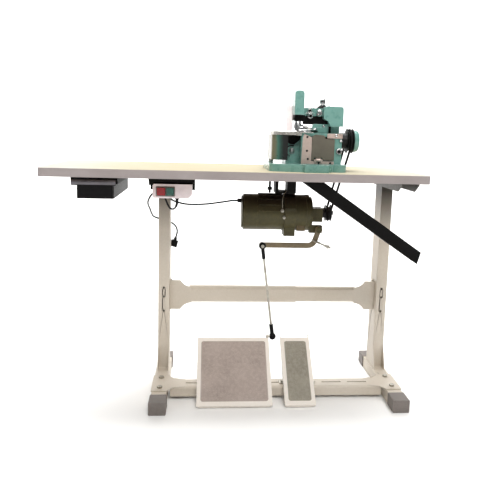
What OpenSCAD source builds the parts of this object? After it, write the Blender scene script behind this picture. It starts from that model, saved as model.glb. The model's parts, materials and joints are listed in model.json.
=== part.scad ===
// Three-thread overlock machine on its own table, with a clutch motor, two treadles and a switch box.
// Millimetres. X runs to the operator's right, Y away from the operator and Z up; the origin is on the
// floor under the middle of the table.

/* [Table] */
// Length of the table top
table_w = 1200; // [1160:10:1260]
// Depth of the table top
table_d = 450; // [440:5:500]
// Thickness of the table top
table_t = 26; // [20:1:28]
// Height of the table's upper surface
table_z = 780; // [770:5:790]
// Radius of the table's corners
table_r = 18; // [8:1:30]

/* [Stand] */
// Centre of the left leg
leg_left_x = -245; // [-255:1:-240]
// Centre of the right leg
leg_right_x = 550; // [545:1:560]
// Width of an upright
leg_w = 40; // [36:1:44]
// Depth of an upright
leg_d = 80; // [70:1:84]
// Wall of the stand's tubes
tube_wall = 2; // [1.5:0.5:3]
// Height of the lower beam's upper face
beam_z = 46; // [46:1:50]

/* [Treadles] */
// Width of the motor treadle
motor_treadle_w = 250; // [220:5:260]
// Width of the lifter treadle
lifter_treadle_w = 103; // [90:1:110]
// Length of both treadles along their slope
treadle_l = 250; // [230:5:255]
// Slope of both treadles at rest
treadle_tilt = 41.5; // [40:0.5:43]

/* [Motor] */
// Radius of the motor housing
motor_r = 63; // [60:1:64]
// Outer radius of the motor pulley
motor_pulley_r = 30; // [28:1:32]

/* [Machine head] */
// Outer radius of the belt pulley on the main shaft
head_pulley_r = 41; // [38:1:43]
// Radius of the main shaft
main_shaft_r = 8; // [6:0.5:8]

/* [Drawer] */
// Depth of the drawer, front to back
drawer_l = 340; // [300:10:360]

/* [Hidden] */

$fn = 48;
gap = 0.3;              // room between faces that move past each other
bore_gap = 0.05;        // radial room of a running fit
plate = 3;              // sheet metal of the stand
floor_gap = 2.8;        // room under the lowest edge of a treadle

under_z = table_z - table_t;
band_t = 1.5;
leg_y = 104;
leg_y0 = leg_y - leg_d / 2;
leg_y1 = leg_y + leg_d / 2;
leg_in_left = leg_left_x + leg_w / 2;
leg_in_right = leg_right_x - leg_w / 2;
foot_w = 50;
foot_z0 = 2;
foot_z1 = beam_z - 4;
cap_l = 60;
bracket_w = 58;
bracket_h = 32;

// treadle frame: s runs up the slope from the front edge, h is measured from the upper face
treadle_y = -190;
flange_h = 15;
treadle_z = floor_gap + flange_h * cos(treadle_tilt);
pivot_y = -80;
pivot_z = 76;
pivot_s = (pivot_y - treadle_y) * cos(treadle_tilt) + (pivot_z - treadle_z) * sin(treadle_tilt);
pivot_h = (pivot_z - treadle_z) * cos(treadle_tilt) - (pivot_y - treadle_y) * sin(treadle_tilt);
motor_treadle_x = 4;
lifter_treadle_x = 222;
pin_r = 5;
ear_l = 16;

// pitman rod between the treadle's ball stud and the clutch lever
ball_r = 8;
stud_s = treadle_l + 9;
stud_h = -7;
rod_low = [motor_treadle_x + motor_treadle_w / 2 + 15,
    treadle_y + stud_s * cos(treadle_tilt) - stud_h * sin(treadle_tilt),
    treadle_z + stud_s * sin(treadle_tilt) + stud_h * cos(treadle_tilt)];
rod_high = [97, -10, 512];
rod_vec = rod_high - rod_low;
rod_len = norm(rod_vec);
rod_turn = [0, acos(rod_vec[2] / rod_len), atan2(rod_vec[1], rod_vec[0])];
rod_r = 4;
socket_r = 12.5;
sleeve_l = 46;

// clutch lever
lever_y = [4, 13];
lever_pivot = [295, 568];
lever_elbow = [283, 512];
lever_half = 11;

// motor
motor_y = 60;
motor_z = 622;
motor_x0 = 25;
motor_seam = 77;
motor_x1 = 250;
clutch_x1 = 272;
shaft_r = 8;
pulley_x = 335;
band_x = [172, 211];

// belt drive: both pulleys carry a round belt
belt_r = 4;
head_shaft_y = -40;
head_shaft_z = 880;
head_pulley_x = 376;
groove_depth = 8.5;
belt_high_r = head_pulley_r - groove_depth + belt_r + gap;
belt_low_r = motor_pulley_r - groove_depth + belt_r + gap;
belt_dy = motor_y - head_shaft_y;
belt_dz = motor_z - head_shaft_z;
belt_span = norm([belt_dy, belt_dz]);
belt_dir = atan2(belt_dz, belt_dy);
belt_half = acos((belt_high_r - belt_low_r) / belt_span);

// switch box
switch_x = [-266, -144];
switch_y = [-170, -112];
switch_z = [690, 734];
button_z = [699, 723];
stop_x = [-252, -227];
start_x = [-223, -200];
button_out = 6;

// drawer
drawer_x = [-490, -380];
drawer_lip_x = [-506, -374];
drawer_y0 = -200;
drawer_z = [688, 728];
drawer_lip_z = [728, 747];

// chute
chute_slope = 34;
chute_h = 38;
chute_run = 451;
// how far the floor reaches past the end of the walls' top edges
chute_lip = 12.6;
chute_y = [-200, -130];
chute_start = [195, under_z];
waste_x = [208, 258];
waste_y = [-186, -146];

// machine head
base_z = table_z + 24;
bed_z = 903;
cloth_z = 906;
cavity_x = [212, 306];
cavity_y = [-106, -20];
cavity_z = [814, 893];
front_y = -106;
arm_z = [945, 984];
needle_xy = [200, -80];
bar_xy = [190, -66];
cloth_pivot = [120, 20];

// cords, from the fitting to the far end
lead_r = 3;
// gland of the mains lead under the switch box (X, Y) and of the motor lead on its back (X, Z)
mains_gland = [-191, -148];
motor_gland = [-232, 700];
motor_lead_path = [[-232, -102, 700], [-232, -94, 700], [-230, -85, 697], [-226, -77, 690],
    [-220, -70, 681], [-211, -63, 673], [-199, -56, 666], [-184, -48, 661], [-167, -40, 657],
    [-148, -31, 655],
    [-127, -21, 654], [-105, -10, 654], [-83, 1, 655], [-61, 13, 657], [-39, 25, 659],
    [-19, 36, 661], [-10, 42, 662], [-1, 46, 662], [8, 48, 662], [17, 48, 662]];
mains_lead_path = [[-191, -148, 682], [-191, -148, 676], [-193, -146, 665], [-199, -138, 655],
    [-207, -128, 651], [-216, -117, 654], [-222, -109, 662], [-227, -102, 672], [-232, -97, 682],
    [-238, -93, 691], [-247, -90, 698], [-258, -86, 700], [-269, -81, 697], [-278, -74, 689],
    [-285, -63, 678], [-290, -48, 668], [-293, -30, 659], [-294, -9, 649], [-294, 14, 640],
    [-293, 36, 630], [-292, 58, 620], [-292, 80, 610], [-291, 103, 601], [-291, 122, 594],
    [-287, 138, 587], [-277, 149, 581], [-263, 155, 576], [-246, 156, 571], [-231, 157, 566],
    [-219, 157, 559], [-210, 157, 550], [-205, 157, 539], [-204, 157, 528], [-206, 157, 518],
    [-209, 157, 508]];
plug_turn = [0, 195, 0];

// ---------------------------------------------------------------- helpers

module block(x, y, z)
    translate([x[0], y[0], z[0]]) cube([x[1] - x[0], y[1] - y[0], z[1] - z[0]]);

module rod_x(x, y, z, r) translate([x[0], y, z]) rotate([0, 90, 0]) cylinder(h = x[1] - x[0], r = r);
module rod_y(x, y, z, r) translate([x, y[1], z]) rotate([90, 0, 0]) cylinder(h = y[1] - y[0], r = r);
module rod_z(x, y, z, r) translate([x, y, z[0]]) cylinder(h = z[1] - z[0], r = r);

module rounded_rect(w, d, r) {
    square([w - 2 * r, d], center = true);
    square([w, d - 2 * r], center = true);
    for (sx = [-1, 1], sy = [-1, 1])
        translate([sx * (w / 2 - r), sy * (d / 2 - r)]) circle(r);
}

module slot(x, y, half, l) {
    square_w = l - 2 * half;
    translate([x - square_w / 2, y - half]) square([square_w, 2 * half]);
    for (s = [-1, 1]) translate([x + s * square_w / 2, y]) circle(half);
}

// an outline drawn in X and Z, extruded from y[0] to y[1]
module along_y(y) translate([0, y[1], 0]) rotate([90, 0, 0]) linear_extrude(y[1] - y[0]) children();

// an outline drawn in Y and Z, extruded from x[0] to x[1]
module along_x(x) translate([x[0], 0, 0]) rotate([90, 0, 90]) linear_extrude(x[1] - x[0]) children();

module hex_head(r, h) cylinder(h = h, r = r, $fn = 6);

// tube swept along points, with rings square to the route
function unit(v) = v / norm(v);
function heading(p, i) = unit(p[min(i + 1, len(p) - 1)] - p[max(i - 1, 0)]);
function side_of(t) = unit(cross(t, abs(t[2]) < 0.8 ? [0, 0, 1] : [0, 1, 0]));
function carried(t, s) = unit(s - (s * t) * t);
function sides(p, i = 0, s = undef) = i == len(p) ? [] :
    let (t = heading(p, i), n = i == 0 ? side_of(t) : carried(t, s)) concat([n], sides(p, i + 1, n));

module tube(p, r, n = 8) {
    s = sides(p);
    rings = [for (i = [0 : len(p) - 1], k = [0 : n - 1])
        p[i] + r * (cos(360 * k / n) * s[i] + sin(360 * k / n) * cross(heading(p, i), s[i]))];
    walls = [for (i = [0 : len(p) - 2], k = [0 : n - 1])
        [i * n + k, (i + 1) * n + k, (i + 1) * n + (k + 1) % n, i * n + (k + 1) % n]];
    start_cap = [for (k = [0 : n - 1]) k];
    end_cap = [for (k = [n - 1 : -1 : 0]) (len(p) - 1) * n + k];
    polyhedron(rings, concat([start_cap, end_cap], walls));
}

// ---------------------------------------------------------------- table

module table_outline(inset)
    rounded_rect(table_w - 2 * inset, table_d - 2 * inset, table_r - inset);

module table_top() {
    belt_slot = [359, 4];
    color("wheat") translate([0, 0, under_z]) linear_extrude(table_t) difference() {
        table_outline(band_t);
        translate(belt_slot) rotate(90) slot(0, 0, 16, 130);
        translate([(waste_x[0] + waste_x[1]) / 2, (waste_y[0] + waste_y[1]) / 2])
            rounded_rect(waste_x[1] - waste_x[0], waste_y[1] - waste_y[0], 6);
    }
}

module table_edge_band()
    color("lavender") translate([0, 0, under_z]) linear_extrude(table_t) difference() {
        table_outline(0);
        table_outline(band_t);
    }

// ---------------------------------------------------------------- stand

module leg(x) {
    inner = tube_wall;
    gusset_y = leg_y0 - 34;
    holes = [341, 309, 256];
    difference() {
        union() {
            block([x - leg_w / 2, x + leg_w / 2], [leg_y0, leg_y1], [foot_z1, under_z - 7]);
            block([x - foot_w / 2, x + foot_w / 2], [-table_d / 2 + 4, table_d / 2 - 4],
                [foot_z0, foot_z1]);
            block([x - leg_w / 2 - 5, x + leg_w / 2 + 5], [leg_y0 - 14, leg_y1 + 14],
                [under_z - 7, under_z - 3]);
            for (s = [-1, 1]) along_x([x + s * (leg_w / 2 - 2) - 2, x + s * (leg_w / 2 - 2) + 2])
                polygon([[leg_y0 + 1, foot_z1], [gusset_y, foot_z1], [gusset_y + 6, foot_z1 + 12],
                    [leg_y0 + 1, foot_z1 + 92]]);
        }
        block([x - leg_w / 2 + inner, x + leg_w / 2 - inner], [leg_y0 + inner, leg_y1 - inner],
            [foot_z1 - 10, under_z - 8]);
        block([x - foot_w / 2 + inner, x + foot_w / 2 - inner], [-table_d / 2, table_d / 2],
            [foot_z0 + inner, foot_z1 - inner]);
        for (z = holes) rod_y(x, [leg_y0 - 1, leg_y0 + inner + 1], z, 4);
        for (z = [357, 272]) rod_x([x - foot_w, x + foot_w], 100, z, 4.2);
        for (y = beam_bolts) rod_z(x, y, [foot_z1 - 4, foot_z1 + 1], 5.2);
        for (y = [leg_y0 - 8, leg_y1 + 8]) rod_z(x, y, [under_z - 8, under_z - 2], 3.2);
    }
}
module left_leg() color("antiquewhite") leg(leg_left_x);
module right_leg() color("antiquewhite") leg(leg_right_x);

// inverted channel between a leg and the table, with slanted ends
module top_bracket(x, front) {
    half = bracket_w / 2;
    long_y = 178;
    slant = 38;
    short_y = long_y - slant;
    difference() {
        union() {
            block([x - half, x + half], [front, long_y], [under_z - plate, under_z]);
            for (s = [-1, 1])
                along_x([x + s * (half - plate / 2) - plate / 2, x + s * (half - plate / 2) + plate / 2])
                polygon([[front, under_z], [front, under_z - 8], [front + slant, under_z - bracket_h],
                    [short_y, under_z - bracket_h], [long_y, under_z - 8], [long_y, under_z]]);
        }
        for (y = [leg_y0 - 8, leg_y1 + 8]) rod_z(x, y, [under_z - plate - 1, under_z + 1], 3.2);
        for (y = [front + 28, 0, 162]) rod_z(x, y, [under_z - plate - 1, under_z + 1], 2.7);
    }
}
// the left one stops behind the switch box
module top_brackets()
    color("linen") {
        top_bracket(leg_left_x, switch_y[1] + 20);
        top_bracket(leg_right_x, -178);
    }

module foot_caps()
    color("dimgray") for (x = [leg_left_x, leg_right_x], s = [-1, 1]) translate([x, s * table_d / 2, 0])
        difference() {
            rotate([90, 0, 0]) translate([0, 22, s > 0 ? 0 : -cap_l]) linear_extrude(cap_l)
                rounded_rect(foot_w + 6, 44, 4);
            block([-foot_w / 2, foot_w / 2], s > 0 ? [-cap_l - 1, -4] : [4, cap_l + 1], [foot_z0, foot_z1]);
        }

beam_top = 340;
beam_low = 281;
beam_y = 84;
beam_back = 114;
// pressed section of the middle beam in Y and Z; t is how far inside the outer surface it lies
module beam_section(t) {
    lip = 9 - 0.6 * t;
    polygon([[beam_back + 1, beam_low + t], [beam_y + 10, beam_low + t], [beam_y + t, beam_low + t + lip],
        [beam_y + t, beam_top - t - lip], [beam_y + 10, beam_top - t], [beam_back + 1, beam_top - t]]);
}
module beam_channel(x, t0, t1)
    intersection() {
        along_x(x) difference() {
            beam_section(t0);
            beam_section(t1);
        }
        block([x[0] - 1, x[1] + 1], [beam_y - 1, beam_back], [0, under_z]);
    }

// flared end of the middle beam; s is the side the leg is on
module beam_end(x, s, y) {
    tab = 30;
    run = 78;
    mid = (beam_top + beam_low) / 2;
    reach = 54;
    difference() {
        union() {
            along_y([y, y + 2]) difference() {
                translate([s > 0 ? x - run : x, mid - reach]) square([run, 2 * reach]);
                for (v = [-1, 1]) translate([x - s * run, mid + v * 75]) {
                    circle(run - tab - 3);
                }
            }
            block(s > 0 ? [x - 3, x] : [x, x + 3], [y, 122], [mid - reach, mid + reach]);
        }
        for (z = [357, 272]) rod_x([x - 5, x + 5], 100, z, 4.2);
    }
}
module middle_beam_left()
    color("antiquewhite") union() {
        beam_end(leg_in_left, -1, beam_y);
        beam_channel([leg_in_left + 70, 236], 0, 2);
    }
module middle_beam_right()
    color("antiquewhite") union() {
        beam_end(leg_in_right, 1, beam_y + 2.2);
        beam_channel([170, leg_in_right - 70], 2.2, 4.2);
    }

beam_bolts = [-37, -117];
slots_x = [-125, -35, 55, 165, 255, 345, 435];
slot_y = -80;
slot_l = 70;
slot_half = 4;

// plan of one flared end of the lower beam, for a leg at x with the beam on side s
module beam_foot(x, s)
    polygon([[x - s * 27, -15], [x + s * 27, -15], [x + s * 34, -30], [x + s * 44, -40], [x + s * 84, -50],
        [x + s * 84, -110], [x + s * 44, -116], [x + s * 34, -126], [x + s * 27, -140],
        [x - s * 27, -140]]);

module lower_beam() {
    y = [-114, -46];
    r = 8;
    z0 = 13;
    x = [leg_left_x + foot_w / 2 + 10, leg_right_x - foot_w / 2 - 10];
    module profile(t) {
        translate([y[0] + t, z0 - 1]) square([y[1] - y[0] - 2 * t, beam_z - z0 + 1 - t - (r - t)]);
        translate([y[0] + r, z0]) square([y[1] - y[0] - 2 * r, beam_z - z0 - t]);
        for (c = [y[0] + r, y[1] - r]) translate([c, beam_z - r]) circle(r - t);
    }
    color("antiquewhite") difference() {
        union() {
            translate([0, 0, foot_z1]) linear_extrude(beam_z - foot_z1) {
                beam_foot(leg_left_x, 1);
                beam_foot(leg_right_x, -1);
            }
            intersection() {
                along_x(x) difference() {
                    profile(0);
                    profile(plate);
                }
                block([x[0] - 1, x[1] + 1], [y[0] - 1, y[1] + 1], [z0, beam_z]);
            }
        }
        for (sx = slots_x) translate([0, 0, foot_z1 - 5]) linear_extrude(20)
            slot(sx, slot_y, slot_half, slot_l);
        for (lx = [leg_left_x, leg_right_x], by = beam_bolts) rod_z(lx, by, [foot_z1 - 1, beam_z + 1], 5.2);
        for (lx = [leg_left_x, leg_right_x]) rod_z(lx, -23, [foot_z1 - 1, beam_z + 1], 3);
    }
}

treadle_lugs = [[motor_treadle_x, 42], [lifter_treadle_x, 26]];
lug_t = 4;
upright_t = 4;

module stand_fasteners() {
    head = 6;
    color("silver") {
        for (x = [leg_left_x, leg_right_x]) {
            for (y = beam_bolts) {
                translate([x, y, beam_z]) hex_head(9, head);
                rod_z(x, y, [foot_z1 - 8, beam_z + 1], 5);
            }
            for (y = [leg_y0 - 8, leg_y1 + 8]) {
                rod_z(x, y, [under_z - 11, under_z - 7], 6);
                rod_z(x, y, [under_z - 9, under_z - 0.2], 3);
            }
            s = x > 0 ? -1 : 1;
            for (z = [357, 272]) translate([x + s * (leg_w / 2 + 3), 100, z]) rotate([0, s * 90, 0]) {
                hex_head(8, 5);
                translate([0, 0, -14]) cylinder(h = 15, r = 4);
            }
        }
        for (t = treadle_lugs, s = [-1, 1]) translate([t[0] + s * (t[1] + 22), slot_y, beam_z + plate]) {
            hex_head(7, 5);
            translate([0, 0, -16]) cylinder(h = 17, r = 3.8);
        }
    }
}

// ---------------------------------------------------------------- treadles

// the two uprights that carry a treadle's pin, bolted through the slots of the lower beam
module treadle_brackets() {
    color("silver") for (t = treadle_lugs, s = [-1, 1]) translate([t[0], 0, 0]) {
        in_x = t[1] + lug_t + 1;
        difference() {
            union() {
                block(s > 0 ? [in_x, in_x + 30] : [-in_x - 30, -in_x], [-95, -65],
                    [beam_z, beam_z + plate]);
                along_x(s > 0 ? [in_x, in_x + upright_t] : [-in_x - upright_t, -in_x]) {
                    translate([-95, beam_z]) square([30, 20]);
                    translate([pivot_y, pivot_z]) circle(11);
                    translate([pivot_y - 11, beam_z]) square([22, pivot_z - beam_z]);
                }
            }
            rod_x([-200, 200], pivot_y, pivot_z, pin_r + 0.02);
            rod_z(s * (t[1] + 22), slot_y, [beam_z - 1, beam_z + 20], 4.1);
        }
    }
    color("gray") for (t = treadle_lugs) {
        end = t[1] + lug_t + upright_t + 4;
        rod_x([t[0] - end, t[0] + end], pivot_y, pivot_z, pin_r);
        for (s = [-1, 1]) rod_x(s > 0 ? [t[0] + end - 3, t[0] + end] : [t[0] - end, t[0] - end + 3],
            pivot_y, pivot_z, pin_r + 3);
    }
}

// places a shape drawn on a treadle's slope: X across, Y up the slope, Z off its face
module on_slope(x) translate([x, treadle_y, treadle_z]) rotate([treadle_tilt, 0, 0]) children();

module treadle_frame(w, lug_x) {
    sheet = 2;
    half = w / 2;
    chamfer = 9;
    difference() {
        union() {
            block([-half, half], [0, treadle_l], [-sheet, 0]);
            for (s = [-1, 1]) along_x(s > 0 ? [half - sheet, half] : [-half, -half + sheet])
                polygon([[0, 0], [0, -6], [chamfer, -flange_h], [treadle_l + ear_l, -flange_h],
                    [treadle_l + ear_l, 0]]);
            along_y([0, sheet]) polygon([[-half, 0], [-half, -6], [-half + chamfer, -flange_h],
                [half - chamfer, -flange_h], [half, -6], [half, 0]]);
            block([-half, half], [treadle_l - sheet, treadle_l], [-flange_h, 0]);
            for (s = [-1, 1]) along_x(s > 0 ? [lug_x, lug_x + lug_t] : [-lug_x - lug_t, -lug_x]) {
                translate([pivot_s, pivot_h]) circle(11);
                translate([pivot_s - 11, pivot_h]) square([22, -pivot_h - 1]);
            }
        }
        rod_x([-half - 1, half + 1], pivot_s, pivot_h, pin_r + bore_gap);
        for (s = [-1, 1]) rod_x(s > 0 ? [half - 5, half + 1] : [-half - 1, -half + 5], stud_s, stud_h, 4.2);
    }
}

module treadle_mat(w)
    translate([0, treadle_l / 2, 0]) linear_extrude(2) rounded_rect(w - 26, treadle_l - 30, 8);

module motor_treadle()
    color("linen") on_slope(motor_treadle_x) treadle_frame(motor_treadle_w, treadle_lugs[0][1]);
module motor_treadle_mat() color("rosybrown") on_slope(motor_treadle_x) treadle_mat(motor_treadle_w);
module lifter_treadle()
    color("linen") on_slope(lifter_treadle_x) treadle_frame(lifter_treadle_w, treadle_lugs[1][1]);
module lifter_treadle_mat() color("darkkhaki") on_slope(lifter_treadle_x) treadle_mat(lifter_treadle_w);

module treadle_ball_stud() {
    ear_x = motor_treadle_x + motor_treadle_w / 2;
    color("silver") translate(rod_low) union() {
        sphere(ball_r);
        rod_x([ear_x - rod_low[0] - 8, 0], 0, 0, 4);
        rod_x([ear_x - rod_low[0], ear_x - rod_low[0] + 1.5], 0, 0, 6);
        rod_x([ear_x - rod_low[0] - 6, ear_x - rod_low[0] - 2], 0, 0, 6);
    }
}

// ---------------------------------------------------------------- pitman and clutch lever

// ring cut from a ball, turned about the Y axis at the upper joint
module ball_ring(r_out, r_in, half)
    translate(rod_high) rotate([90, 0, 0]) rotate_extrude() intersection() {
        difference() {
            circle(r_out);
            if (r_in > ball_r) circle(r_in);
        }
        translate([r_in > ball_r ? 0.5 : r_in, -half]) square([r_out, 2 * half]);
    }

module pitman_upper_ball() color("silver") ball_ring(ball_r, 3 + bore_gap, 6.5);

module pitman_sockets() {
    cavity = ball_r + 1.4;
    bore = rod_r + 0.02;
    color([0.1, 0.1, 0.1]) difference() {
        union() {
            ball_ring(socket_r, ball_r + gap, 6);
            translate(rod_high) rotate(rod_turn) translate([0, 0, -sleeve_l])
                cylinder(h = sleeve_l - 10, r = 6.5);
        }
        translate(rod_high) rotate(rod_turn) translate([0, 0, -sleeve_l - 1])
            cylinder(h = sleeve_l - 14, r = bore);
    }
    color([0.1, 0.1, 0.1]) difference() {
        union() {
            translate(rod_low) rotate([0, 90, 0]) rotate_extrude() intersection() {
                difference() {
                    circle(socket_r);
                    circle(cavity);
                    translate([-1, -20]) square([9, 20]);
                }
                translate([0, -20]) square([20, 40]);
            }
            translate(rod_low) rotate(rod_turn) translate([0, 0, 11]) cylinder(h = sleeve_l - 11, r = 7);
        }
        translate(rod_low) rotate(rod_turn) translate([0, 0, 15]) cylinder(h = sleeve_l, r = bore);
    }
}

module pitman_rod()
    color("silver") translate(rod_low) rotate(rod_turn) translate([0, 0, 15])
        cylinder(h = rod_len - 30, r = rod_r);

module clutch_lever()
    color("darkkhaki") difference() {
        along_y(lever_y) {
            translate([rod_high[0], lever_elbow[1] - lever_half])
                square([lever_elbow[0] - rod_high[0] - 12, 2 * lever_half]);
            translate([rod_high[0], lever_elbow[1]]) circle(lever_half);
            translate([lever_elbow[0] - 12, lever_elbow[1] + 10]) circle(lever_half + 10);
            translate([lever_pivot[0], lever_pivot[1]]) circle(13);
            polygon([[lever_elbow[0] - 14, lever_elbow[1] + 14], [lever_elbow[0] + 8, lever_elbow[1] + 6],
                [lever_pivot[0] + 12, lever_pivot[1]], [lever_pivot[0] - 12, lever_pivot[1]]]);
        }
        rod_y(rod_high[0], [lever_y[0] - 1, lever_y[1] + 1], rod_high[2], 3.02);
        rod_y(lever_pivot[0], [lever_y[0] - 1, lever_y[1] + 1], lever_pivot[1], 6 + bore_gap);
    }

// the bolt of the upper ball and the adjusting screw clipped to the front of the lever
module lever_fittings() {
    y0 = rod_high[1];
    screw_y = lever_y[0] - 4;
    color("dimgray") {
        rod_y(rod_high[0], [y0 - 8.5, lever_y[1] + 5], rod_high[2], 3);
        rod_y(rod_high[0], [y0 - 11.5, y0 - 6.7], rod_high[2], 5.5);
        rod_y(rod_high[0], [y0 + 6.7, lever_y[0]], rod_high[2], 5);
        rod_y(rod_high[0], [lever_y[1], lever_y[1] + 5], rod_high[2], 6);
        translate([270, screw_y, 534]) rotate([0, 113, 0]) {
            cylinder(h = 74, r = 3);
            translate([0, 0, 52]) cylinder(h = 5, r = 6, $fn = 6);
            translate([0, 0, 60]) cylinder(h = 7, r = 6.5, $fn = 6);
            translate([0, 0, 14]) cylinder(h = 18, r = 4);
        }
    }
}

// ---------------------------------------------------------------- motor

module motor_ring(x, r_out, r_in)
    difference() {
        rod_x(x, motor_y, motor_z, r_out);
        rod_x([x[0] - 1, x[1] + 1], motor_y, motor_z, r_in);
    }

module motor_mount() {
    rest_z = motor_z + motor_r + 7;
    color([0.15, 0.14, 0.1]) difference() {
        union() {
            block([100, 222], [10, 110], [under_z - 5, under_z]);
            block([140, 151], [30, 90], [rest_z, under_z - 4]);
            block([182, 213], [30, 90], [rest_z, under_z - 4]);
            block([140, 213], [30, 90], [rest_z, rest_z + 8]);
            block([112, 127], [16, 36], [under_z - 20, under_z - 4]);
            rod_z(120, 26, [under_z - 60, under_z - 19], 4);
            rod_z(120, 26, [under_z - 50, under_z - 40], 8);
        }
        block([band_x[0] - 1, band_x[1] + 1], [40, 80], [rest_z - 1, rest_z + 3]);
    }
}

module motor_clamp_band() {
    r = motor_r + 7;
    color([0.25, 0.24, 0.15]) difference() {
        union() {
            rod_x(band_x, motor_y, motor_z, r);
            block(band_x, [motor_y - 20, motor_y + 20], [motor_z + motor_r, motor_z + r + 3]);
            along_x(band_x) {
                translate([motor_y - 50, motor_z - 78]) square([60, 50]);
                translate([motor_y - 69, motor_z - 9]) square([20, 30]);
            }
        }
        rod_x([0, 400], motor_y, motor_z, motor_r + 0.02);
        for (z = [-3, 17]) rod_y(band_x[0] + 7, [motor_y - 90, motor_y - 56], motor_z + z, 3.5);
    }
    color("silver") for (z = [-3, 17]) {
        rod_y(band_x[0] + 7, [motor_y - 73, motor_y - 69], motor_z + z, 5.5);
        rod_y(band_x[0] + 7, [motor_y - 70, motor_y - motor_r - 0.5], motor_z + z, 3.4);
    }
}

module motor_housing() {
    fins = 9;
    color([0.3, 0.28, 0.16]) union() {
        motor_ring([motor_seam, motor_x1], motor_r, motor_r - 6);
        for (k = [0 : fins - 1]) translate([0, motor_y, motor_z]) rotate([20 * k + 10, 0, 0])
            block([motor_seam + 6, band_x[0] - 4], [motor_r - 2, motor_r + 4], [-1.5, 1.5]);
    }
}

module motor_end_bell()
    color([0.28, 0.26, 0.15]) difference() {
        union() {
            rod_x([motor_x0 + 6, motor_seam], motor_y, motor_z, motor_r);
            rod_x([motor_x0, motor_x0 + 7], motor_y, motor_z, motor_r - 6);
        }
        rod_x([motor_x0 + 16, motor_seam + 1], motor_y, motor_z, motor_r - 6);
        rod_x([motor_x0 + 5, motor_x0 + 17], motor_y, motor_z, 17.02);
        rod_x([motor_x0 - 1, motor_x0 + 6], 48, 662, lead_r + 1);
    }

module clutch_housing() {
    nose = [clutch_x1 - 1, 312];
    color([0.32, 0.3, 0.18]) difference() {
        union() {
            rod_x([motor_x1, motor_x1 + 12], motor_y, motor_z, motor_r + 1);
            rod_x([motor_x1 + 11, clutch_x1], motor_y, motor_z, motor_r - 7);
            block(nose, [motor_y - 26, motor_y + 26], [motor_z - 30, motor_z + 18]);
            block([263, 309], [18, 42], [555, 581]);
            block([263, 272], [20, 60], [570, 600]);
        }
        rod_x([motor_x1 - 1, clutch_x1 - 8], motor_y, motor_z, motor_r - 14);
        rod_x([clutch_x1 - 9, nose[1] + 1], motor_y, motor_z, shaft_r + 4);
        rod_x([nose[1] - 12, nose[1] + 1], motor_y, motor_z, 17.02);
        rod_x([clutch_x1 - 9, clutch_x1 + 3], motor_y, motor_z, 17.02);
        rod_y(lever_pivot[0], [10, 50], lever_pivot[1], 6.02);
    }
    color("gray") {
        rod_y(lever_pivot[0], [lever_y[0] - 2, 42], lever_pivot[1], 6);
        rod_y(lever_pivot[0], [lever_y[0] - 5, lever_y[0] - 1], lever_pivot[1], 10);
    }
}

module motor_rotor()
    color("gray") union() {
        rod_x([motor_x0 + 5.5, 186], motor_y, motor_z, shaft_r);
        rod_x([motor_seam + 12, 154], motor_y, motor_z, 36);
        rod_x([176, 190], motor_y, motor_z, 50);
    }

module motor_stator_bearings()
    color("silver") {
        motor_ring([motor_seam + 8, 158], motor_r - 6.2, 37);
        motor_ring([motor_x0 + 6, motor_x0 + 16], 17, shaft_r + bore_gap);
        motor_ring([clutch_x1 - 8, clutch_x1 + 2], 17, shaft_r + bore_gap);
        motor_ring([300, 311], 17, shaft_r + bore_gap);
    }

module clutch_shaft()
    color("gray") union() {
        rod_x([200, 354], motor_y, motor_z, shaft_r);
        rod_x([200, 210], motor_y, motor_z, 48);
    }

// grooved pulley about the X axis, as an outline of radius and width
module belt_pulley(r, half, bore)
    rotate([0, 90, 0]) rotate_extrude() polygon([[bore, -half], [r, -half], [r, -half + 1],
        [r - groove_depth, -5], [r - groove_depth, 5], [r, half - 1], [r, half], [bore, half]]);

module motor_pulley()
    color([0.1, 0.1, 0.1]) translate([pulley_x, motor_y, motor_z]) union() {
        belt_pulley(motor_pulley_r, 10, shaft_r);
        difference() {
            rod_x([-20, -9], 0, 0, 18);
            rod_x([-21, -8], 0, 0, shaft_r);
        }
    }

// points round the belt: an arc on each pulley, and runs that cross from one pulley's plane to the other's
function belt_arc(x, y, z, r, a0, span, n) = [for (k = [0 : n])
    [x, y + r * cos(a0 + span * k / n), z + r * sin(a0 + span * k / n)]];
belt_path = concat(
    belt_arc(head_pulley_x, head_shaft_y, head_shaft_z, belt_high_r, belt_dir + belt_half,
        360 - 2 * belt_half, 22),
    belt_arc(pulley_x, motor_y, motor_z, belt_low_r, belt_dir - belt_half, 2 * belt_half, 16));

// closed round loop through points that lie near a plane square to X
module drive_belt() {
    p = belt_path;
    count = len(p);
    n = 10;
    rings = [for (i = [0 : count - 1]) let (t = unit(p[(i + 1) % count] - p[(i + count - 1) % count]),
        u = carried(t, [1, 0, 0])) for (k = [0 : n - 1])
        p[i] + belt_r * (cos(360 * k / n) * u + sin(360 * k / n) * cross(t, u))];
    walls = [for (i = [0 : count - 1], k = [0 : n - 1]) let (m = (i + 1) % count)
        [i * n + k, m * n + k, m * n + (k + 1) % n, i * n + (k + 1) % n]];
    color([0.08, 0.08, 0.08]) polyhedron(rings, walls);
}

// ---------------------------------------------------------------- switch, cords and drawer

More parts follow.
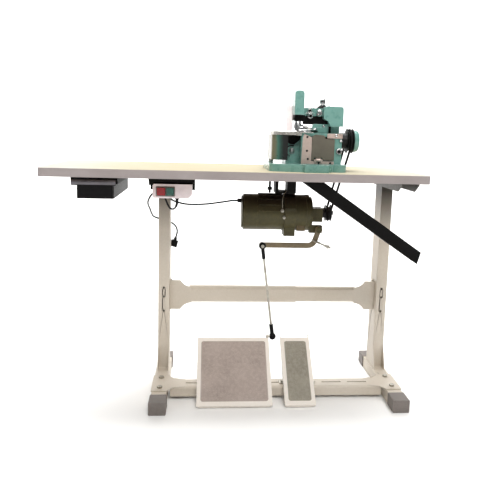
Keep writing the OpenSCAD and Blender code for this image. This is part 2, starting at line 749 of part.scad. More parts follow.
module switch_box()
    color("mistyrose") difference() {
        translate([0, 0, switch_z[0]]) linear_extrude(switch_z[1] - switch_z[0])
            polygon([[switch_x[0] + 3, switch_y[0]], [switch_x[1] - 8, switch_y[0]],
                [switch_x[1], switch_y[0] + 10], [switch_x[1], switch_y[1]],
                [switch_x[0], switch_y[1]], [switch_x[0], switch_y[0] + 3]]);
        block([switch_x[0] + 3, switch_x[1] - 3], [switch_y[0] + 11, switch_y[1] - 3],
            [switch_z[0] + 3, switch_z[1] - 3]);
        for (x = [stop_x, start_x]) block([x[0] - gap, x[1] + gap], [switch_y[0] - 1, switch_y[0] + 12],
            [button_z[0] - gap, button_z[1] + gap]);
        rod_z(mains_gland[0], mains_gland[1], [switch_z[0] - 1, switch_z[0] + 4], 5.02);
        rod_y(motor_gland[0], [switch_y[1] - 4, switch_y[1] + 1], motor_gland[1], 5.02);
    }

module switch_bracket()
    color([0.1, 0.1, 0.1]) union() {
        block([-278, -136], [-168, -100], [under_z - 3, under_z]);
        block([-278, -136], [-103, -100], [switch_z[0] + 20, under_z - 1]);
        block([-272, -140], [-164, -112], [switch_z[1], switch_z[1] + 3]);
        block([-278, -136], [-168, -164], [switch_z[1] + 6, under_z - 1]);
        block([-260, -150], [-112, -101], [switch_z[0] + 24, switch_z[1] + 3]);
    }

module push_button(x)
    union() {
        block(x, [switch_y[0] - button_out, switch_y[0] + 16], button_z);
        block([x[0] + 8, x[1] - 8], [switch_y[0] + 15, switch_y[0] + 38],
            [button_z[0] + 8, button_z[1] - 8]);
    }
module stop_button() color("firebrick") push_button(stop_x);
module start_button() color("seagreen") push_button(start_x);

// glands of the two leads, and the clip that holds the mains lead behind the leg
module cord_fittings() {
    nut = 3;
    clip_z = [560, 582];
    color([0.12, 0.12, 0.12]) {
        translate([mains_gland[0], mains_gland[1], 0]) {
            rod_z(0, 0, [switch_z[0], switch_z[0] + 10], 5);
            rod_z(0, 0, [switch_z[0] - nut, switch_z[0]], 8);
            translate([0, 0, switch_z[0] - nut - 5]) cylinder(h = 5, r1 = 4.6, r2 = 6);
        }
        translate([motor_gland[0], switch_y[1], motor_gland[1]]) {
            rod_y(0, [-8, 0], 0, 5);
            rod_y(0, [0, nut], 0, 7);
            translate([0, 10, 0]) rotate([90, 0, 0]) cylinder(h = 10 - nut, r1 = 4.6, r2 = 6);
        }
        difference() {
            rod_x([10, motor_x0], 48, 662, 7);
            rod_x([9, 17], 48, 662, lead_r + 1.3);
        }
        difference() {
            block([-251, -241], [leg_y1, 163], clip_z);
            block([-252, -240], [151, 161], [clip_z[0] + 2, clip_z[1] - 2]);
        }
    }
}

module motor_lead() color([0.08, 0.08, 0.08]) tube(motor_lead_path, lead_r);
module mains_lead() color([0.08, 0.08, 0.08]) tube(mains_lead_path, lead_r);

module mains_plug() {
    tip = mains_lead_path[len(mains_lead_path) - 1];
    color([0.1, 0.1, 0.1]) translate(tip) rotate(plug_turn) {
        cylinder(h = 12, r1 = 4.5, r2 = 7);
        translate([0, 0, 11]) linear_extrude(24) rounded_rect(26, 17, 5);
    }
    color("gold") translate(tip) rotate(plug_turn) for (s = [-1, 1]) translate([s * 7, 0, 34])
        linear_extrude(16) rounded_rect(1.6, 6, 0.5);
}

module drawer_rails()
    color([0.15, 0.15, 0.15]) for (s = [-1, 1]) {
        edge = s < 0 ? drawer_lip_x[0] : drawer_lip_x[1];
        block(s < 0 ? [edge - 4, edge - 1] : [edge + 1, edge + 4], [drawer_y0 + 14, 150],
            [drawer_lip_z[0] + 4, under_z - 2]);
        block(s < 0 ? [edge - 4, edge + 5] : [edge - 5, edge + 4], [drawer_y0 + 14, 150],
            [drawer_lip_z[0] + 4, drawer_lip_z[0] + 6]);
        block(s < 0 ? [edge - 16, edge - 1] : [edge + 1, edge + 16], [drawer_y0 + 14, 150],
            [under_z - 3, under_z]);
    }

module drawer() {
    y1 = drawer_y0 + drawer_l;
    wall = 3;
    flange = drawer_lip_z[0] + 6 + gap;
    color([0.12, 0.12, 0.12]) difference() {
        union() {
            block(drawer_x, [drawer_y0 + 6, y1], [drawer_z[0], flange + 4]);
            block([drawer_lip_x[0] + 1, drawer_lip_x[1] - 1], [drawer_y0 + 6, y1], [flange, flange + 4]);
            block(drawer_lip_x, [drawer_y0, drawer_y0 + 6], drawer_lip_z);
            block([drawer_x[0] + 2, drawer_x[1] - 2], [drawer_y0, drawer_y0 + 7],
                [drawer_z[0], drawer_lip_z[0] + 1]);
        }
        block([drawer_x[0] + wall, drawer_x[1] - wall], [drawer_y0 + 10, y1 - wall],
            [drawer_z[0] + wall, drawer_lip_z[1]]);
    }
}

// sloped open channel that carries trimmings off to the right of the table
module waste_chute() {
    wall = 2;
    flange_w = 12;
    color([0.08, 0.08, 0.08]) {
        difference() {
            translate([chute_start[0], 0, chute_start[1]]) rotate([0, chute_slope, 0]) difference() {
                along_y(chute_y) polygon([[-20, 0], [chute_run + chute_lip, 0],
                    [chute_run, chute_h], [-20, chute_h]]);
                block([-30, chute_run + 20], [chute_y[0] + wall, chute_y[1] - wall], [wall, chute_h + 10]);
            }
            block([0, 400], [-225, 0], [under_z - wall, 800]);
            block([0, chute_start[0] - 6], [-225, 0], [700, 800]);
        }
        for (y = [chute_y[0] + 0.5, chute_y[1] - flange_w - 0.5])
            block([chute_start[0] + 2, chute_start[0] + 48], [y, y + flange_w], [under_z - wall, under_z]);
    }
}

// ---------------------------------------------------------------- machine head

module machine_base()
    color("mediumaquamarine") difference() {
        translate([0, 0, table_z]) linear_extrude(base_z - table_z) {
            polygon([[98, 60], [98, -142], [106, -152], [190, -170], [200, -172], [206, -188], [280, -188],
                [288, -172], [302, -140], [338, -122], [338, 60]]);
            translate([324, -122]) circle(26);
        }
        block([110, 204], [-140, 48], [table_z - 1, base_z - 7]);
        block([266, 326], [-100, 48], [table_z - 1, base_z - 7]);
        block([waste_x[0] + 2, waste_x[1] - 2], [waste_y[0] + 2, waste_y[1] - 2], [table_z - 1, base_z + 1]);
        rod_z(cloth_pivot[0], cloth_pivot[1], [base_z - 8, base_z + 1], 5.02);
    }

module machine_body() {
    back = 52;
    color("mediumaquamarine") difference() {
        union() {
            block([204, 336], [front_y, back], [base_z, bed_z]);
            block([160, 205], [-58, 40], [base_z, 884]);
            along_y([-66, -56]) {
                polygon([[166, base_z], [206, base_z], [206, 860], [186, 860]]);
                translate([179, 843]) circle(15);
            }
            along_y([-60, 45]) {
                polygon([[286, bed_z - 1], [336, bed_z - 1], [336, arm_z[1] - 6], [330, arm_z[1]],
                    [216, arm_z[1]], [210, arm_z[1] - 6], [210, arm_z[0] + 4], [268, arm_z[0] + 4],
                    [280, arm_z[0] - 6], [286, arm_z[0] - 22]]);
            }
            block([180, 214], [-92, -44], [941, 959]);
            block([206, 216], [-60, 30], [941, arm_z[0] + 10]);
            block([241, 287], [-60, 30], [bed_z - 1, 921]);
        }
        block(cavity_x, [front_y - 1, cavity_y[1]], cavity_z);
        rod_x([300, 340], head_shaft_y, head_shaft_z, 14.02);
        rod_x([204, 214], head_shaft_y, head_shaft_z, 14.02);
        rod_z(needle_xy[0], needle_xy[1], [930, 970], 3.5 + bore_gap);
        rod_z(bar_xy[0], bar_xy[1], [930, 970], 3.5 + bore_gap);
        rod_y(250, [-30, 20], 836, 5 + bore_gap);
        block([166, 198], [-50, 34], [base_z - 1, 872]);
        rod_y(327, [front_y - 1, front_y + 10], 846, 4 + bore_gap);
        rod_y(265, [-61, -40], 968, 3 + bore_gap);
    }
    // bushes of the main shaft
    color("goldenrod") for (x = [[204, 214], [306, 336]]) difference() {
        rod_x(x, head_shaft_y, head_shaft_z, 14);
        rod_x([x[0] - 1, x[1] + 1], head_shaft_y, head_shaft_z, main_shaft_r + bore_gap);
    }
    color("black") rod_y(179, [-69, -65], 843, 8);
}

module arm_cover() {
    r = 9;
    color("mediumaquamarine") difference() {
        along_y([-88, -60]) difference() {
            union() {
                translate([278, 926]) square([64, 64 - r]);
                translate([278 + r, 926]) square([64 - 2 * r, 64]);
                for (x = [278 + r, 342 - r]) translate([x, 990 - r]) circle(r);
            }
            translate([272, 922]) circle(28);
        }
        block([290, 336], [-84, -59], [940, 980]);
    }
}

module face_cover() {
    x = [178, 208];
    r = 7;
    color("mediumaquamarine") difference() {
        along_y([-112, -44]) {
            translate([x[0], 960]) square([x[1] - x[0], 77 - r]);
            translate([x[0] + r, 960]) square([x[1] - x[0] - 2 * r, 77]);
            for (c = [x[0] + r, x[1] - r]) translate([c, 1037 - r]) circle(r);
        }
        block([x[0] + 2.5, x[1] - 2.5], [-109, -47], [959, 1028]);
    }
    // clear guard beside the face cover
    color("white", 0.4) block([158, 178], [-61, -59], [cloth_z + 1, 990]);
}

cover_x = [238, 312];
cover_z = [814, 899];
cover_hinge = [-113, 816];
module front_cover()
    color([0.41, 0.38, 0.33]) difference() {
        union() {
            along_y([-110.5, front_y - gap]) polygon([[cover_x[0], cover_z[0] + 2],
                [cover_x[1], cover_z[0] + 2], [cover_x[1], 885], [282, 885], [278, 896],
                [cover_x[0] + 10, cover_z[1]], [cover_x[0], 892]]);
            rod_x([252, 268], cover_hinge[0], cover_hinge[1], 4.5);
            block([252, 268], [-113, -110], [816, 824]);
        }
        rod_x([251, 269], cover_hinge[0], cover_hinge[1], 2 + bore_gap);
        for (x = [[246.5, 252], [268, 273.5]]) block(x, [-116, front_y], [cover_z[0] - 1, cover_z[0] + 11]);
    }

// bare plate beside and below the front cover, with its screws and the cover's hinge lugs
module looper_side_plate() {
    screw_r = 3.2;
    screws = [[222, 890], [222, 846], [226, 820], [262, 808], [300, 808]];
    color("thistle") {
        difference() {
            along_y([front_y - 4, front_y]) polygon([[204, base_z + 0.5], [cover_x[1], base_z + 0.5],
                [cover_x[1], 813], [cover_x[0] - 1, 813], [cover_x[0] - 1, 889], [212, 900], [208, 888]]);
            block([251.4, 268.6], [front_y - 5, front_y + 1], [810.5, 814]);
        }
        for (x = [[248, 251.5], [268.5, 272]]) {
            block(x, [-116, front_y - 5], [809, 820]);
            block(x, [-116, front_y - 3], [809, 813]);
        }
    }
    color("dimgray") {
        rod_x([246, 274], cover_hinge[0], cover_hinge[1], 2);
        for (s = screws) rod_y(s[0], [front_y - 5.5, front_y - 4], s[1], screw_r);
    }
}

module cloth_plate() {
    post = cloth_pivot;
    color("gainsboro") difference() {
        union() {
            translate([0, 0, bed_z]) linear_extrude(cloth_z - bed_z)
                polygon([[104, 18], [104, -100], [112, -122], [130, -130], [185, -130], [185, post[1]],
                    [post[0] + 12, post[1] + 14], [post[0] - 12, post[1] + 14]]);
            translate([0, 0, bed_z - 8]) linear_extrude(9)
                polygon([[104, 18], [104, -100], [112, -122], [130, -130], [185, -130], [185, -126],
                    [132, -126], [115, -120], [108, -99], [108, 18]]);
        }
        rod_z(post[0], post[1], [bed_z - 1, cloth_z + 1], 5 + bore_gap);
    }
}

// side shell that hangs from the cloth plate
module cloth_plate_shell()
    color("mediumseagreen") translate([0, 0, 815]) linear_extrude(bed_z - 8 - 815) difference() {
        polygon([[107, 10], [107, -98], [125, -124], [158, -124], [158, 10]]);
        polygon([[110, 11], [110, -97], [127, -121], [159, -121], [159, 11]]);
    }

module needle_plate() {
    color("silver") difference() {
        union() {
            block([186, 240], [-116, 20], [bed_z, cloth_z]);
            block([188, 204], [-112, -60], [bed_z - 9, bed_z]);
        }
        block([needle_xy[0] - 8, needle_xy[0] - 5], [-96, -62], [bed_z - 1, cloth_z + 1]);
        rod_z(needle_xy[0], needle_xy[1], [bed_z - 60, cloth_z + 1], 2);
    }
    color("gray") {
        rod_z(cloth_pivot[0], cloth_pivot[1], [base_z - 8, cloth_z - 0.5], 5);
        rod_z(cloth_pivot[0], cloth_pivot[1], [base_z, bed_z - gap], 8);
    }
}

module presser_foot() {
    z = cloth_z + gap;
    color("silver") union() {
        rod_z(bar_xy[0], bar_xy[1], [z + 6, 975], 3.5);
        difference() {
            along_x([needle_xy[0] - 14, needle_xy[0] + 11])
                polygon([[-112, z + 4], [-108, z], [-58, z], [-58, z + 4], [-100, z + 4]]);
            rod_z(needle_xy[0], needle_xy[1], [z - 1, z + 10], 4.5);
        }
        block([bar_xy[0] - 4, bar_xy[0] + 9], [-72, -60], [z + 3, z + 14]);
        block([bar_xy[0], 228], [-60, -55], [z + 8, z + 14]);
        rod_z(bar_xy[0], bar_xy[1], [z + 22, z + 28], 6);
    }
}

module needle_bar() {
    tip = cloth_z + gap + 4.5;
    color("silver") union() {
        rod_z(needle_xy[0], needle_xy[1], [tip + 20, 985], 3.5);
        rod_z(needle_xy[0], needle_xy[1], [tip + 14, tip + 22], 5);
        translate([needle_xy[0], needle_xy[1], tip]) cylinder(h = 6, r1 = 0.3, r2 = 1);
        rod_z(needle_xy[0], needle_xy[1], [tip + 6, tip + 15], 1);
    }
}

// lower looper on its rocking shaft
module lower_looper()
    color("silver") {
        rod_y(250, [-84, 10], 836, 5);
        along_y([-84, -78]) {
            translate([250, 836]) circle(9);
            polygon([[246, 838], [254, 840], [236, 878], [222, 888], [219, 886], [230, 874]]);
        }
    }

// turned parts seen end on, placed on an axis that runs towards the operator
module front_tension_dial()
    color("whitesmoke") translate([265, 0, 968]) rotate([90, 0, 0]) {
        translate([0, 0, 70]) cylinder(h = 6, r = 11);
        translate([0, 0, 75]) cylinder(h = 9, r = 8);
        translate([0, 0, 45]) cylinder(h = 26, r = 3);
    }

module top_tension_knob()
    color("whitesmoke") translate([280, -40, 0]) {
        rod_z(0, 0, [arm_z[1] + 6.3, 1010], 3);
        translate([0, 0, 999]) cylinder(h = 18, r1 = 10, r2 = 8);
    }

module stitch_knob()
    color("whitesmoke") {
        rod_y(327, [front_y - 7, front_y - gap], 846, 10);
        rod_y(327, [front_y - 1, front_y + 8], 846, 4);
    }

// fixed thread guides on the arm and the seat of the top tension
module thread_guides()
    color("silver") {
        for (p = [[233, 975, 8], [235, 958, 9]]) {
            rod_y(p[0], [-70, -60], p[1], p[2] - 5);
            rod_y(p[0], [-74, -69], p[1], p[2]);
        }
        translate([280, -40, arm_z[1]]) difference() {
            cylinder(h = 14, r1 = 17, r2 = 7);
            translate([0, 0, 6]) cylinder(h = 9, r = 3 + bore_gap);
        }
    }

module main_shaft()
    color("silver") union() {
        rod_x([205.5, 402], head_shaft_y, head_shaft_z, main_shaft_r);
        rod_x([232, 240], head_shaft_y, head_shaft_z, 11.5);
    }

module handwheel() {
    wheel_x = [head_pulley_x + 10, head_pulley_x + 28];
    color([0.1, 0.1, 0.1]) translate([head_pulley_x, head_shaft_y, head_shaft_z])
        belt_pulley(head_pulley_r, 10, main_shaft_r);
    color([0.1, 0.1, 0.1]) difference() {
        rod_x([340, head_pulley_x - 10], head_shaft_y, head_shaft_z, 26);
        rod_x([339, head_pulley_x - 9], head_shaft_y, head_shaft_z, main_shaft_r);
    }
    color("mediumaquamarine") translate([wheel_x[0], head_shaft_y, head_shaft_z]) rotate([0, 90, 0])
        rotate_extrude() polygon([[main_shaft_r, 0], [36, 0], [37, 2], [35, 14], [32, 18], [14, 18],
            [12, 12], [main_shaft_r, 12]]);
}

table_top();
table_edge_band();
left_leg();
right_leg();
top_brackets();
foot_caps();
middle_beam_left();
middle_beam_right();
lower_beam();
stand_fasteners();
treadle_brackets();
motor_treadle();
motor_treadle_mat();
treadle_ball_stud();
lifter_treadle();
lifter_treadle_mat();
pitman_upper_ball();
pitman_sockets();
pitman_rod();
clutch_lever();
lever_fittings();
motor_mount();
motor_clamp_band();
motor_housing();
motor_end_bell();
clutch_housing();
motor_stator_bearings();
motor_rotor();
clutch_shaft();
motor_pulley();
drive_belt();
switch_box();
switch_bracket();
stop_button();
start_button();
cord_fittings();
motor_lead();
mains_lead();
mains_plug();
drawer_rails();
drawer();
waste_chute();
machine_base();
machine_body();
arm_cover();
face_cover();
front_cover();
looper_side_plate();
cloth_plate();
cloth_plate_shell();
needle_plate();
presser_foot();
needle_bar();
lower_looper();
front_tension_dial();
top_tension_knob();
stitch_knob();
thread_guides();
main_shaft();
handwheel();
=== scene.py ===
"""Looks of the overlock machine on its table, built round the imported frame. Metres, +Z up, operator at -Y."""

import json
import math

import bmesh
import bpy
from mathutils import Matrix, Vector


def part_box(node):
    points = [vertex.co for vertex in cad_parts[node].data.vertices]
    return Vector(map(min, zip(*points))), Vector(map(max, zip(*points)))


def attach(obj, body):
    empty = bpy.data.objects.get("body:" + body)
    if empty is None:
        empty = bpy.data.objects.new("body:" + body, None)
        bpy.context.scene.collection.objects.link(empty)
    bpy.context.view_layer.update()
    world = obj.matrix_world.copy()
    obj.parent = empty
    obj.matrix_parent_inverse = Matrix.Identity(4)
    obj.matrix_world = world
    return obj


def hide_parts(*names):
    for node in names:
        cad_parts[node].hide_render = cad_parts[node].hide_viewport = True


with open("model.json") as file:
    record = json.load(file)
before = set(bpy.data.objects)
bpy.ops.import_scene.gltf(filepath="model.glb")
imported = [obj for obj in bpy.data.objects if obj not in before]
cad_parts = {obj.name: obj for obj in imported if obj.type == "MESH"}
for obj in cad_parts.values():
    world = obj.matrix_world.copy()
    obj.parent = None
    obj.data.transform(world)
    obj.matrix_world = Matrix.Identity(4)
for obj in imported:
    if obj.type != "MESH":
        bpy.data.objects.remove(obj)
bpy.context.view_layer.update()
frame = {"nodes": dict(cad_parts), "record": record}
nodes = frame["nodes"]

# ---------------------------------------------------------------- camera, light and floor

CAMERA_PLACE = (-0.101, -2.0256, 0.9035)
CAMERA_YAW, CAMERA_PITCH, CAMERA_ROLL = 0.0859, 0.1436, 0.0286
LENS, SENSOR = 44.67, 36.0
SHIFT = (-0.0338, -0.0469)


def make_camera():
    forward = Vector((
        math.sin(CAMERA_YAW) * math.cos(CAMERA_PITCH),
        math.cos(CAMERA_YAW) * math.cos(CAMERA_PITCH),
        -math.sin(CAMERA_PITCH),
    ))
    level = Vector((math.cos(CAMERA_YAW), -math.sin(CAMERA_YAW), 0))
    up = level.cross(forward)
    right = level * math.cos(CAMERA_ROLL) + up * math.sin(CAMERA_ROLL)
    top = up * math.cos(CAMERA_ROLL) - level * math.sin(CAMERA_ROLL)
    camera = bpy.data.objects.new("camera", bpy.data.cameras.new("camera"))
    camera.data.lens, camera.data.sensor_width = LENS, SENSOR
    camera.data.shift_x, camera.data.shift_y = SHIFT
    camera.data.clip_start, camera.data.clip_end = 0.05, 60
    turned = Matrix((right, top, -forward)).transposed().to_4x4()
    camera.matrix_world = Matrix.Translation(CAMERA_PLACE) @ turned
    bpy.context.scene.collection.objects.link(camera)
    bpy.context.scene.camera = camera


def area_light(name, place, target, size, power, colour=(1, 1, 1)):
    lamp = bpy.data.lights.new(name, "AREA")
    lamp.shape, lamp.size, lamp.energy, lamp.color = "SQUARE", size, power, colour
    holder = bpy.data.objects.new(name, lamp)
    holder.location = place
    holder.rotation_euler = (Vector(target) - Vector(place)).to_track_quat("-Z", "Y").to_euler()
    bpy.context.scene.collection.objects.link(holder)


def make_studio():
    area_light("key", (0.9, -5.4, 6.4), (0.1, 0, 0.55), 3.2, 390, (1.0, 0.985, 0.96))
    area_light("fill", (-2.8, -2.2, 1.5), (0, 0, 0.5), 2.4, 6, (0.97, 0.98, 1.0))
    area_light("overhead", (0.1, 0.8, 7.5), (0.1, 0.1, 0.7), 3.5, 120)
    area_light("wall", (0, 2.0, 6.5), (0, 5.0, 1.4), 5.0, 620)
    world = bpy.data.worlds.new("studio")
    world.use_nodes = True
    background = world.node_tree.nodes["Background"]
    background.inputs[0].default_value = (1, 1, 1, 1)
    background.inputs[1].default_value = 0.2
    bpy.context.scene.world = world
    bpy.context.scene.view_settings.view_transform = "Standard"


def make_floor():
    """Floor that rises in a quarter circle into a wall behind the object."""
    half, back, rise, top = 9.0, 3.4, 2.0, 7.0
    profile = [(-half, 0.0), (back, 0.0)]
    profile += [(back + rise * math.sin(a), rise - rise * math.cos(a))
                for a in [math.pi / 2 * k / 12 for k in range(1, 13)]]
    profile += [(back + rise, top)]
    verts = [(x, y, z) for y, z in profile for x in (-half, half)]
    faces = [(2 * k, 2 * k + 1, 2 * k + 3, 2 * k + 2) for k in range(len(profile) - 1)]
    mesh = bpy.data.meshes.new("floor")
    mesh.from_pydata(verts, [], faces)
    mesh.shade_smooth()
    floor = bpy.data.objects.new("floor", mesh)
    mesh.materials.append(plain_floor())
    bpy.context.scene.collection.objects.link(floor)


# ---------------------------------------------------------------- materials

def linear(r, g, b):
    """Colour as seen on a screen, 0 to 255, as the shader's linear numbers."""
    shares = (r / 255, g / 255, b / 255)
    return tuple(c / 12.92 if c <= 0.04045 else ((c + 0.055) / 1.055) ** 2.4 for c in shares) + (1.0,)


def plain_floor():
    m = bpy.data.materials.new("pale_floor")
    m.use_nodes = True
    shader = m.node_tree.nodes["Principled BSDF"]
    shader.inputs["Base Color"].default_value = (0.97, 0.97, 0.965, 1)
    shader.inputs["Roughness"].default_value = 0.75
    return m


class Nodes:
    """Short ways to add and link the nodes of one material."""

    def __init__(self, name):
        self.material = bpy.data.materials.new(name)
        self.material.use_nodes = True
        self.tree = self.material.node_tree
        self.shader = self.tree.nodes["Principled BSDF"]
        self.place = self.tree.nodes.new("ShaderNodeTexCoord").outputs["Object"]

    def add(self, kind, inputs=None, **settings):
        node = self.tree.nodes.new(kind)
        for key, value in settings.items():
            setattr(node, key, value)
        for key, value in (inputs or {}).items():
            if isinstance(value, bpy.types.NodeSocket):
                self.tree.links.new(value, node.inputs[key])
            else:
                node.inputs[key].default_value = value
        return node

    def link(self, output, name):
        self.tree.links.new(output, self.shader.inputs[name])

    def scaled(self, x, y, z):
        return self.add("ShaderNodeMapping", {"Vector": self.place, "Scale": (x, y, z)}).outputs[0]

    def noise(self, scale, detail=4.0, rough=0.55, vector=None):
        return self.add("ShaderNodeTexNoise", {
            "Vector": vector or self.place, "Scale": scale, "Detail": detail,
            "Roughness": rough}).outputs["Fac"]

    def ramp(self, value, *stops):
        node = self.add("ShaderNodeValToRGB", {"Fac": value})
        band = node.color_ramp
        while len(band.elements) < len(stops):
            band.elements.new(0.5)
        for element, (at, colour) in zip(band.elements, stops):
            element.position, element.color = at, colour
        return node.outputs["Color"]

    def grey(self, value, low, high, dark=0.0, light=1.0):
        """A number that goes from dark to light as value goes from low to high."""
        return self.add("ShaderNodeMapRange", {
            "Value": value, "From Min": low, "From Max": high,
            "To Min": dark, "To Max": light}).outputs["Result"]

    def mix(self, share, a, b, blend="MIX"):
        node = self.add("ShaderNodeMix", data_type="RGBA", blend_type=blend)
        for key, value in ((0, share), (6, a), (7, b)):
            if isinstance(value, bpy.types.NodeSocket):
                self.tree.links.new(value, node.inputs[key])
            else:
                node.inputs[key].default_value = value
        return node.outputs[2]

    def math(self, operation, a, b=0.0):
        return self.add("ShaderNodeMath", {0: a, 1: b}, operation=operation).outputs[0]

    def edges(self, radius):
        """1 on sharp edges and 0 on flat faces."""
        bevel = self.add("ShaderNodeBevel", {"Radius": radius}, samples=6).outputs[0]
        flat = self.add("ShaderNodeNewGeometry").outputs["Normal"]
        dot = self.add("ShaderNodeVectorMath", {0: bevel, 1: flat}, operation="DOT_PRODUCT").outputs["Value"]
        return self.grey(dot, 0.99, 0.9, 0.0, 1.0)

    def upward(self):
        normal = self.add("ShaderNodeNewGeometry").outputs["Normal"]
        return self.add("ShaderNodeSeparateXYZ", {0: normal}).outputs["Z"]

    def bump(self, height, distance, strength=1.0, normal=None):
        inputs = {"Height": height, "Distance": distance, "Strength": strength}
        if normal is not None:
            inputs["Normal"] = normal
        return self.add("ShaderNodeBump", inputs).outputs[0]


def finish_of(name, colour, dark, rough=(0.4, 0.6), metal=0.0, grain=60.0, bump=0.0002, wear=None,
              edge=0.0015, coat=0.0, spec=0.5, patch=6.0, streak=(1, 1, 1), dust=0.0, painted_shade=None):
    """A painted, moulded or metal surface: large patches and fine mottling of colour, uneven gloss, a fine
    relief, worn edges if wear is a colour, and painted shade that darkens the colour upwards between two given
    heights for a cast shadow."""
    n = Nodes(name)
    large = n.noise(patch, 3.0)
    fine = n.noise(grain, 6.0, 0.65, n.scaled(*streak))
    blend = n.math("MULTIPLY", n.grey(large, 0.32, 0.68), 0.6)
    blend = n.math("ADD", blend, n.math("MULTIPLY", n.grey(fine, 0.35, 0.65), 0.4))
    tint = n.mix(blend, linear(*dark), linear(*colour))
    if dust:
        film = n.math("MULTIPLY", n.grey(n.upward(), 0.5, 1.0),
                      n.math("MULTIPLY", n.grey(large, 0.35, 0.7), dust))
        tint = n.mix(film, tint, linear(190, 182, 168))
    # Painted shade: the colour darkens with height towards the shade colour, for the table's shadow.
    if painted_shade:
        low, high, shade_colour = painted_shade
        height = n.add("ShaderNodeSeparateXYZ", {0: n.place}).outputs["Z"]
        height = n.math("ADD", height, n.math("MULTIPLY", n.math("SUBTRACT", large, 0.5), 0.03))
        tint = n.mix(n.grey(height, low, high), tint, linear(*shade_colour))
    if wear:
        worn = n.math("MULTIPLY", n.edges(edge), n.grey(n.noise(90, 5.0, 0.7), 0.42, 0.6))
        tint = n.mix(worn, tint, linear(*wear))
    n.link(tint, "Base Color")
    n.link(n.grey(fine, 0.3, 0.7, *rough), "Roughness")
    n.link(n.bump(fine, bump), "Normal")
    n.shader.inputs["Metallic"].default_value = metal
    n.shader.inputs["Specular IOR Level"].default_value = spec
    if coat:
        n.shader.inputs["Coat Weight"].default_value = coat
        n.shader.inputs["Coat Roughness"].default_value = 0.12
    return n


def laminate():
    """Table top: cream in the middle, paler towards both ends, faint grain along the table."""
    n = Nodes("table_laminate")
    along = n.add("ShaderNodeSeparateXYZ", {0: n.place}).outputs
    cloud = n.noise(3.0, 4.0)
    far = n.math("ABSOLUTE", n.math("SUBTRACT", along["X"], 0.02))
    far = n.math("ADD", far, n.math("MULTIPLY", n.math("SUBTRACT", cloud, 0.5), 0.16))
    tint = n.ramp(n.grey(far, 0.24, 0.56), (0.0, linear(176, 166, 140)), (0.45, linear(180, 172, 150)),
                  (1.0, linear(186, 182, 173)))
    grain = n.noise(22, 7.0, 0.62, n.scaled(0.12, 1.6, 1.0))
    tint = n.mix(n.grey(grain, 0.36, 0.66, 0.0, 0.22), tint, linear(152, 140, 112))
    rub = n.noise(9, 6.0, 0.7)
    tint = n.mix(n.grey(rub, 0.58, 0.72, 0.0, 0.18), tint, linear(196, 190, 176))
    under = n.grey(n.upward(), -0.5, -0.9)
    tint = n.mix(under, tint, linear(150, 128, 98))
    n.link(tint, "Base Color")
    n.link(n.grey(rub, 0.35, 0.68, 0.62, 0.78), "Roughness")
    n.shader.inputs["Specular IOR Level"].default_value = 0.12
    n.link(n.bump(grain, 0.00012), "Normal")
    return n


